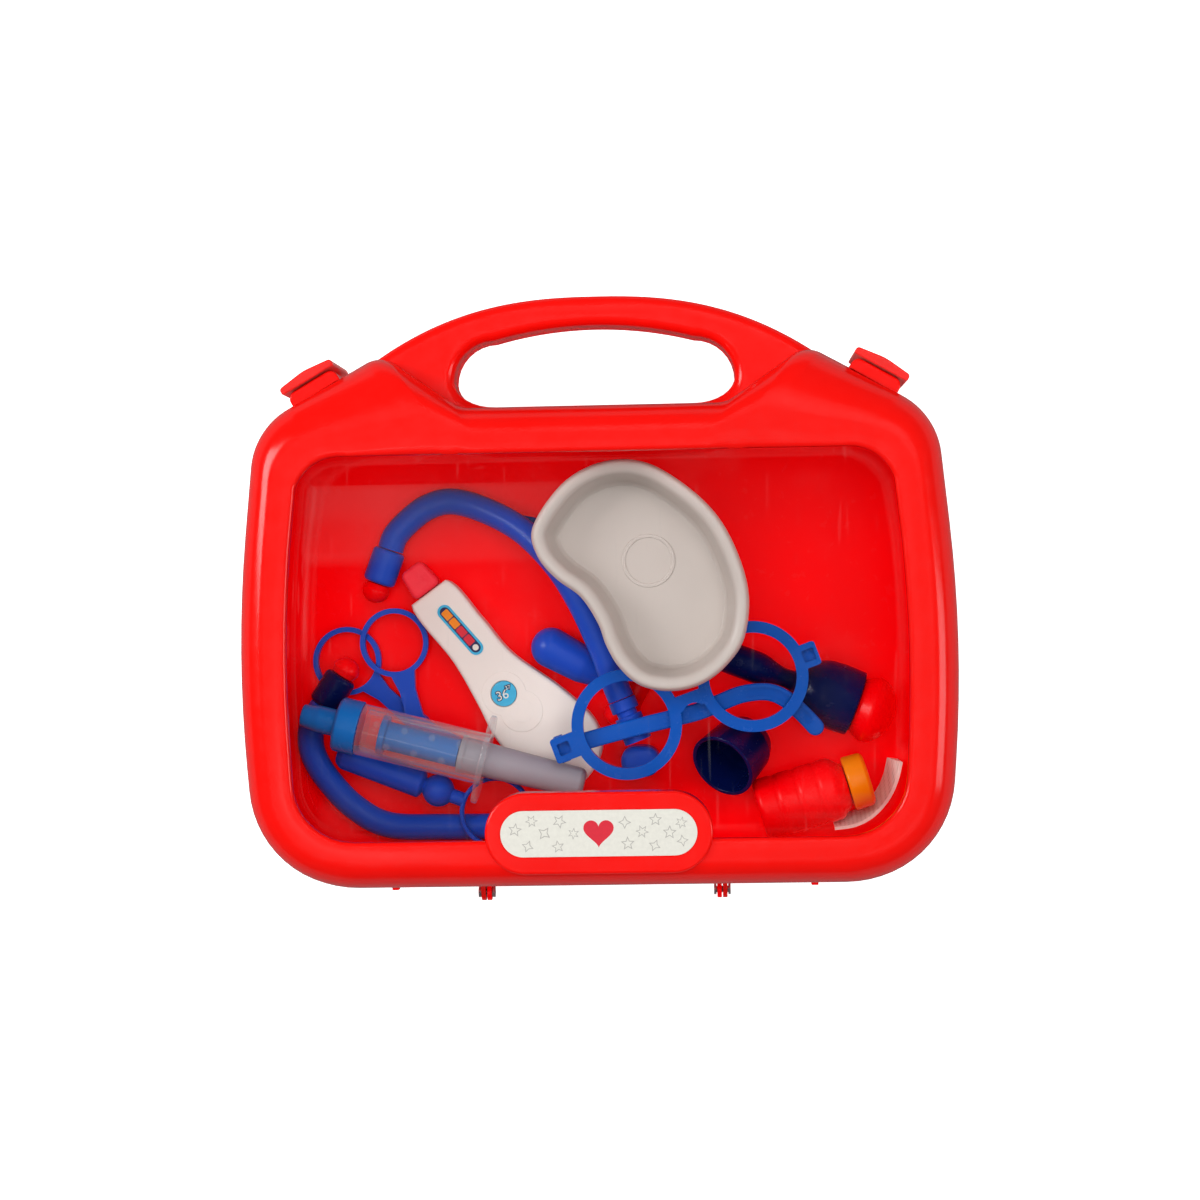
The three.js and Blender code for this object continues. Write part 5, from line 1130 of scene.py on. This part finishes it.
class DOCTORCASE_OT_glasses(bpy.types.Operator):
    """The toy glasses: a front with two rings, one temple folded on its pin and one lying loose"""
    bl_idname = "doctor_case.glasses"
    bl_label = "Glasses"

    def execute(self, context):
        left, right = at((0.084, 0.28), GLASSES_HEIGHT), at((0.512, 0.404), GLASSES_HEIGHT)
        pitch = math.hypot(right.x - left.x, right.y - left.y)
        slope = heading(left, right)

        def plate(outline, low=0.0, high=GLASSES_THICKNESS):
            return loose_plate("blank", [outline], low, high)

        def oblong(x, y, half_x, half_y, corner=1.2):
            return rounded([(x - half_x, y - half_y, corner), (x + half_x, y - half_y, corner),
                            (x + half_x, y + half_y, corner), (x - half_x, y + half_y, corner)], 5)

        rim, lens, temple_width, barrel_radius = 20.8, 16.4, 6.6, 1.7
        lug_middle = rim + 5.5 - 2.3
        axis_x, axis_z = -lug_middle - 2.3, -GAP - barrel_radius
        front = plate(circle_points(rim, 96))
        front = cut_with(
            front, plate(circle_points(rim, 96, pitch)), plate(oblong(pitch / 2, 0, pitch / 2 - 18.5, 3, 0.4)),
            plate(oblong(-lug_middle, 0, 5.5, 4.8)), plate(oblong(pitch + lug_middle - 2.6, 0, 4.6, 4.6)),
            operation="UNION")
        holes = [circle_points(lens, 96), circle_points(lens, 96, pitch), circle_points(4.8, 40, pitch / 2, -6)]
        pockets = [oblong(-lug_middle - 1.15, 0, 2.3, 2.3, 0.6), oblong(pitch + lug_middle - 1.6, 0, 2.3, 2.3, 0.6)]
        front = cut_with(front, *[plate(hole, -1, 6) for hole in holes],
                         *[plate(pocket, 1.2, 6) for pocket in pockets])
        front = soften(face_outwards(front), 1.5 * MM, 5, 50)
        knuckles = [loose_plate("knuckle", [oblong(axis_x, side * 4.5, barrel_radius, 0.7, 0.3)],
                                axis_z - barrel_radius, 1, 0.2, 2) for side in (-1, 1)]
        front = placed(joined("glasses_front_moulding", front, *knuckles), left.x, left.y, GLASSES_HEIGHT, slope)
        finish_piece(front, "bright_blue_polypropylene", "glasses_front", smooth=35)

        shares = [(-0.42, 0), (0.02, -0.045), (0.39, -0.09), (0.55, -0.105), (0.7, -0.1), (0.88, -0.1), (1.06, -0.15),
                  (1.17, -0.25), (1.25, -0.4), (1.3, -0.52)]
        path = spline_points([Vector((x * pitch, y * pitch)) for x, y in shares], 70)
        path[0] = Vector((axis_x, 0))
        for name, body in (("left", "temple"), ("right", "rear")):
            underside = 0.9 if name == "left" else 0
            strip = loose_plate("temple_strip", [ribbon(path, temple_width)], underside, 3.4, 0.9, 4)
            groove = loose_plate("temple_groove", [ribbon(path[40:66], 3)], 2.4, 4)
            strip = cut_with(strip, groove)
            barrel_ends = [Vector((axis_x, side * temple_width / 2, barrel_radius)) for side in (-1, 1)]
            barrel = turned("temple_barrel", [(0, 0), (barrel_radius, 0), (barrel_radius, temple_width),
                                              (0, temple_width)], *barrel_ends, 0.2, 24)
            barrel.location.y -= BOTTOM_EDGE
            set_in_place(barrel)
            temple = joined(f"glasses_temple_{name}_moulding", strip, barrel)
            if name == "left":
                placed(temple, left.x, left.y, GLASSES_HEIGHT + axis_z - barrel_radius, slope)
            else:
                temple.location.x = -axis_x * MM
                set_in_place(temple)
                loose = at((-0.313, 0.839))
                placed(temple, loose.x, loose.y, FLOOR, -math.radians(10))
            finish_piece(temple, "bright_blue_polypropylene", f"glasses_temple_{name}", body, smooth=35)
        painted(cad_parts["glasses_temple_pin"], "bright_blue_polypropylene")
        return {"FINISHED"}


def ribbon(points, width, end_steps=10):
    """A flat strip of even width along open points, round at its far end."""
    left, right = [], []
    for i, point in enumerate(points):
        along = (points[min(i + 1, len(points) - 1)] - points[max(i - 1, 0)]).normalized() * width / 2
        left.append(Vector((point.x - along.y, point.y + along.x)))
        right.append(Vector((point.x + along.y, point.y - along.x)))
    run = points[-1] - points[-2]
    aim = math.atan2(run.y, run.x)
    end = [points[-1] + width / 2 * on_circle(1, aim - math.pi / 2 + math.pi * k / end_steps)
           for k in range(1, end_steps)]
    return right + end + left[::-1]


class DOCTORCASE_OT_dish(bpy.types.Operator):
    """The grey kidney dish with its rolled rim and raised ring"""
    bl_idname = "doctor_case.dish"
    bl_label = "Kidney dish"

    def execute(self, context):
        shares = [(-0.217, 0.811), (-0.131, 0.913), (-0.03, 0.968), (0.09, 0.988), (0.213, 0.965), (0.361, 0.879),
                  (0.45, 0.78), (0.503, 0.64), (0.485, 0.515), (0.425, 0.44), (0.34, 0.39), (0.24, 0.373),
                  (0.14, 0.388), (0.07, 0.435), (0.026, 0.495), (0, 0.554), (-0.056, 0.625), (-0.138, 0.675),
                  (-0.2, 0.735)]
        rim = spline_points([at(s).xy for s in shares], 114, looped=True)[::-1]
        low = DISH_FOOT
        steps = [(8.4, 0), (7.9, 0.15), (7.3, 0.8), (6.8, 2), (3.7, 16.8), (1.6, 18.4), (0.6, 17.6), (0.1, 17),
                 (0, 16.8), (0.1, 17.7), (0.4, 18.4), (0.9, 19.4), (1.6, 20), (2.8, 20), (4.2, 19.4), (5.1, 18.4),
                 (5.6, 16.6), (7.5, 5.4), (7.9, 4), (8.4, 2.9), (9, 2.1), (9.3, 1.9)]
        rings = [level(inset(rim, distance), low + rise) for distance, rise in steps]
        dish = drawn_skin("kidney_dish_skin", rings)
        middle = at((0.17, 0.72))
        mark = flat_plate("raised_ring", [circle_points(10, 72, middle.x, middle.y),
                                          circle_points(8.6, 72, middle.x, middle.y)], low + 1.2, low + 2.3, 0.3, 3)
        finish_piece(joined("kidney_dish_moulding", dish, mark), "grey_dish_polypropylene", "kidney_dish")
        return {"FINISHED"}


class DOCTORCASE_OT_hand_tools(bpy.types.Operator):
    """The reflex hammer, the mirror and the bell with its red cap"""
    bl_idname = "doctor_case.hand_tools"
    bl_label = "Hammer, mirror and bell"

    def execute(self, context):
        end_radius, head_radius = HAMMER_DEPTH / 2, 7.6
        start, end = at((-0.245, 0.514), FLOOR + end_radius), at((0.045, 0.385), FLOOR + end_radius)
        run = (end - start).length
        turns = [math.pi / 2 * i / 12 for i in range(13)]
        handle = [(end_radius * math.sin(turn), end_radius * (1 - math.cos(turn))) for turn in turns] + [
            (7.27, run * 0.6), (3.6, run - GAP), (0, run - GAP)]
        hammer = turned("hammer_handle_moulding", handle, start, end, 1.2)
        finish_piece(hammer, "royal_blue_polyethylene", "hammer_handle")
        aim = (end - start).normalized()
        across = Vector((-aim.y, aim.x, 0))
        head = end + aim * head_radius
        head.z = FLOOR + head_radius
        half = [(4.68, 3.75), (head_radius, 9), (6.84, 12.75), (4.56, 15), (0, 15)]
        profile = [(radius, -along) for radius, along in reversed(half)] + half
        block = turned("hammer_head_moulding", profile, head, head + across, 1.4)
        finish_piece(block, "red_toy_polyethylene", "hammer_head")

        start, end = at((-0.95, 0.205), FLOOR + 8.15), at((-0.39, 0.034), TUBE_LOW + 6.9 + GAP)
        run = (end - start).length
        ball, ball_radius, neck_radius, arm_end = run * 0.64, 6.3, 2.8, run - 12.4
        profile = [(0, 0), (3.92, 0.84), (5.6, 3.36), (5.6, ball - 6.93)]
        profile += [(ball_radius * math.sin(a), ball - ball_radius * math.cos(a)) for a in
                    (math.pi * i / 20 for i in range(3, 18)) if ball_radius * math.sin(a) > neck_radius]
        profile += [(neck_radius, ball + ball_radius), (neck_radius, arm_end), (0, arm_end)]
        arm = turned("mirror_arm", profile, start, end, 0.8)
        ring = flat_plate("mirror_ring", [circle_points(14, 96, end.x, end.y), circle_points(12.2, 96, end.x, end.y)],
                          end.z - 1.8, end.z + 1.8, 0.8, 4)
        finish_piece(joined("mirror_moulding", arm, ring), "royal_blue_polyethylene", "mirror_tool")

        height = FLOOR + 13
        start, end = at((0.36, 0.475), height), at((0.872, 0.318), height)
        run = (end - start).length
        bell = turned("bell_moulding", [
            (0, 0), (4.2, run * 0.03), (6.2, run * 0.12), (6.2, run * 0.36), (4.4, run * 0.45), (3.6, run * 0.5),
            (3.8, run * 0.58), (9.6, run * 0.64), (12.6, run * 0.76), (13, run * 0.88), (12.6, run), (11, run),
            (11.2, run * 0.87), (7.8, run * 0.74), (0, run * 0.7)], start, end, 2.4, 64)
        finish_piece(bell, "navy_polypropylene", "bell_tool")
        onward = (end - start).normalized()
        start = end + onward * GAP
        cap = turned("bell_cap_moulding", [(0, 0), (10.4, 0)] + dome(13, 5, 10, 14), start, start + onward, 0.5, 64)
        finish_piece(cap, "red_toy_polyethylene", "bell_cap")
        return {"FINISHED"}


class DOCTORCASE_OT_vessels(bpy.types.Operator):
    """The measuring cup, the bottle with its cap, and the cotton band"""
    bl_idname = "doctor_case.vessels"
    bl_label = "Cup, bottle and band"

    def execute(self, context):
        aim = (at((0.43, 0.16)) - at((0.505, 0.215))).normalized()
        axis = Vector((aim.x, aim.y, 1)).normalized()
        base = at((0.505, 0.228), FLOOR + 9.6 * math.hypot(axis.x, axis.y))
        cup = turned("measuring_cup_moulding", [
            (0, 0), (9.6, 0), (11.88, 5.25), (13.2, 21), (11.6, 21), (10.28, 6.3), (8, 1.6), (0, 1.6)],
            base, base + axis, 0.6, 64)
        finish_piece(cup, "navy_polypropylene", "measuring_cup")

        radius, body = 12.2, 35.1
        start, toward = at((0.538, 0.026), FLOOR + radius), at((0.885, 0.106), FLOOR + radius)
        ribs = [point for rib in (7, 15, 23) for point in ((radius, rib), (11.7, rib + 1.4), (radius, rib + 2.8))]
        profile = [(0, 0), (10.74, 0), (radius, 1.46), *ribs, (radius, body * 0.86), (8, body), (0, body)]
        finish_piece(turned("bottle_moulding", profile, start, toward, 1.2, 64), "red_toy_polyethylene", "bottle")
        onward = (toward - start).normalized()
        end = start + onward * (body + GAP)
        cap = turned("bottle_cap_moulding", [(0, 0), (9.9, 0), (10.6, 0.7), (10.4, 7.2), (9.2, 8.4), (0, 8.4)],
                     end, end + onward, 0.5, 64)
        finish_piece(cap, "orange_polypropylene", "bottle_cap")

        shares = [(0.8, -0.02), (0.87, -0.012), (0.93, 0.012), (0.98, 0.055), (1.01, 0.105), (1.026, 0.16)]
        path = spline_points([at(s).xy for s in shares], 60)
        low = FLOOR + 2 * GAP
        high, lean, thickness = low + 12, 4, 1.2
        rings = []
        for i, top in enumerate(path):
            along = (path[min(i + 1, 59)] - path[max(i - 1, 0)]).normalized()
            inward = Vector((-along.y, along.x))
            corners = ((lean, low), (0, high), (-thickness, high), (lean - thickness, low))
            rings.append([spot(Vector((*(top + inward * shift), z))) for shift, z in corners])
        band = face_outwards(drawn_skin("cotton_band_strip", rings))
        finish_piece(band, "cotton_band", "bandage_strip", smooth=40)
        return {"FINISHED"}


# The studio

def light(name, place, target, width, height, power):
    """A white area light of that size in metres and power in watts, turned towards its target."""
    data = bpy.data.lights.new(name, "AREA")
    data.shape = "RECTANGLE"
    data.size, data.size_y = width, height
    data.energy = power
    obj = bpy.data.objects.new(name, data)
    bpy.context.scene.collection.objects.link(obj)
    obj.location = place
    obj.rotation_euler = (Vector(target) - Vector(place)).to_track_quat("-Z", "Y").to_euler()
    return obj


class DOCTORCASE_OT_stage(bpy.types.Operator):
    """The camera over the table, the white floor, the lights and the world"""
    bl_idname = "doctor_case.stage"
    bl_label = "Stage"

    def execute(self, context):
        scene = context.scene
        bpy.ops.mesh.primitive_plane_add(size=6)
        floor = painted(context.object, "white_paper")
        floor.name = "sweep_paper"
        middle = (0, 0, 0.05)
        lights = [
            light("window_light", (-0.9, 0.3, 0.8), middle, 0.45, 0.6, 7),
            light("ceiling_light", (0.25, 0.55, 1.3), middle, 0.8, 0.5, 4),
            light("right_fill", (0.95, -0.1, 0.6), middle, 0.3, 0.6, 2),
            light("top_fill", (0.04, 0, 1.6), (0.0401, 0, 0.05), 1.3, 1.3, 11),
            light("pane_card", (-0.225, -0.165, 1.07), (-0.08, -0.072, 0.075), 0.15, 0.08, 0.05),
        ]
        for unseen in (lights[1], lights[3]):
            unseen.visible_glossy = False

        world = bpy.data.worlds.new("white_room")
        world.use_nodes = True
        tree = world.node_tree
        tree.nodes.clear()
        path = node(tree, "ShaderNodeLightPath")
        dimmed = node(tree, "ShaderNodeMapRange", {"Value": path.outputs["Is Glossy Ray"], "To Min": 0.22,
                                                   "To Max": 0.05})
        strength = node(tree, "ShaderNodeMix", {"Factor": path.outputs["Is Camera Ray"],
                                                "A": dimmed.outputs["Result"], "B": 1.0})
        back = node(tree, "ShaderNodeBackground", {"Color": (1, 1, 1, 1), "Strength": strength.outputs["Result"]})
        node(tree, "ShaderNodeOutputWorld", {"Surface": back.outputs["Background"]})
        scene.world = world

        camera_data = bpy.data.cameras.new("over_table")
        camera_data.lens = 68.92
        camera_data.sensor_width = 36
        camera = bpy.data.objects.new("over_table", camera_data)
        scene.collection.objects.link(camera)
        aside, height = 0.04, 0.9
        camera.location = (aside, -0.45 * MM, height)
        camera_data.shift_x = 0.0015
        yaw = Matrix.Rotation(math.atan2(aside, height - middle[2]), 3, "Y")
        camera.rotation_euler = (yaw @ Matrix.Rotation(-math.radians(1.05), 3, "Z")).to_euler()
        scene.camera = camera

        scene.render.resolution_x = scene.render.resolution_y = 1024
        scene.view_settings.view_transform = "Standard"
        scene.view_settings.look = "None"
        scene.cycles.max_bounces = 10
        scene.cycles.transparent_max_bounces = 24
        return {"FINISHED"}


OPERATORS = (
    DOCTORCASE_OT_stage, DOCTORCASE_OT_front_frame, DOCTORCASE_OT_rear_shell, DOCTORCASE_OT_window,
    DOCTORCASE_OT_latches, DOCTORCASE_OT_stethoscope, DOCTORCASE_OT_thermometer, DOCTORCASE_OT_syringe,
    DOCTORCASE_OT_scissors, DOCTORCASE_OT_glasses, DOCTORCASE_OT_dish, DOCTORCASE_OT_hand_tools,
    DOCTORCASE_OT_vessels,
)


class DOCTORCASE_PT_pieces(bpy.types.Panel):
    """The case's sizes, colours and piece groups"""
    bl_idname = "DOCTORCASE_PT_pieces"
    bl_label = "Toy doctor case"
    bl_space_type = "VIEW_3D"
    bl_region_type = "UI"
    bl_category = "Doctor case"

    def draw(self, context):
        for settings in (context.scene.doctor_case_sizes, context.scene.doctor_case_colours):
            column = self.layout.column(align=True)
            for name in settings.__annotations__:
                column.prop(settings, name)
        for operator in OPERATORS:
            self.layout.operator(operator.bl_idname)


CLASSES = (DoctorCaseSizes, DoctorCaseColours) + OPERATORS + (DOCTORCASE_PT_pieces,)


def register():
    for cls in CLASSES:
        bpy.utils.register_class(cls)
    bpy.types.Scene.doctor_case_sizes = bpy.props.PointerProperty(type=DoctorCaseSizes)
    bpy.types.Scene.doctor_case_colours = bpy.props.PointerProperty(type=DoctorCaseColours)


def unregister():
    del bpy.types.Scene.doctor_case_sizes
    del bpy.types.Scene.doctor_case_colours
    for cls in reversed(CLASSES):
        bpy.utils.unregister_class(cls)


def main():
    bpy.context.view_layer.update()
    register()
    for operator in OPERATORS:
        group, name = operator.bl_idname.split(".")
        getattr(getattr(bpy.ops, group), name)()


if __name__ == "__main__":
    main()
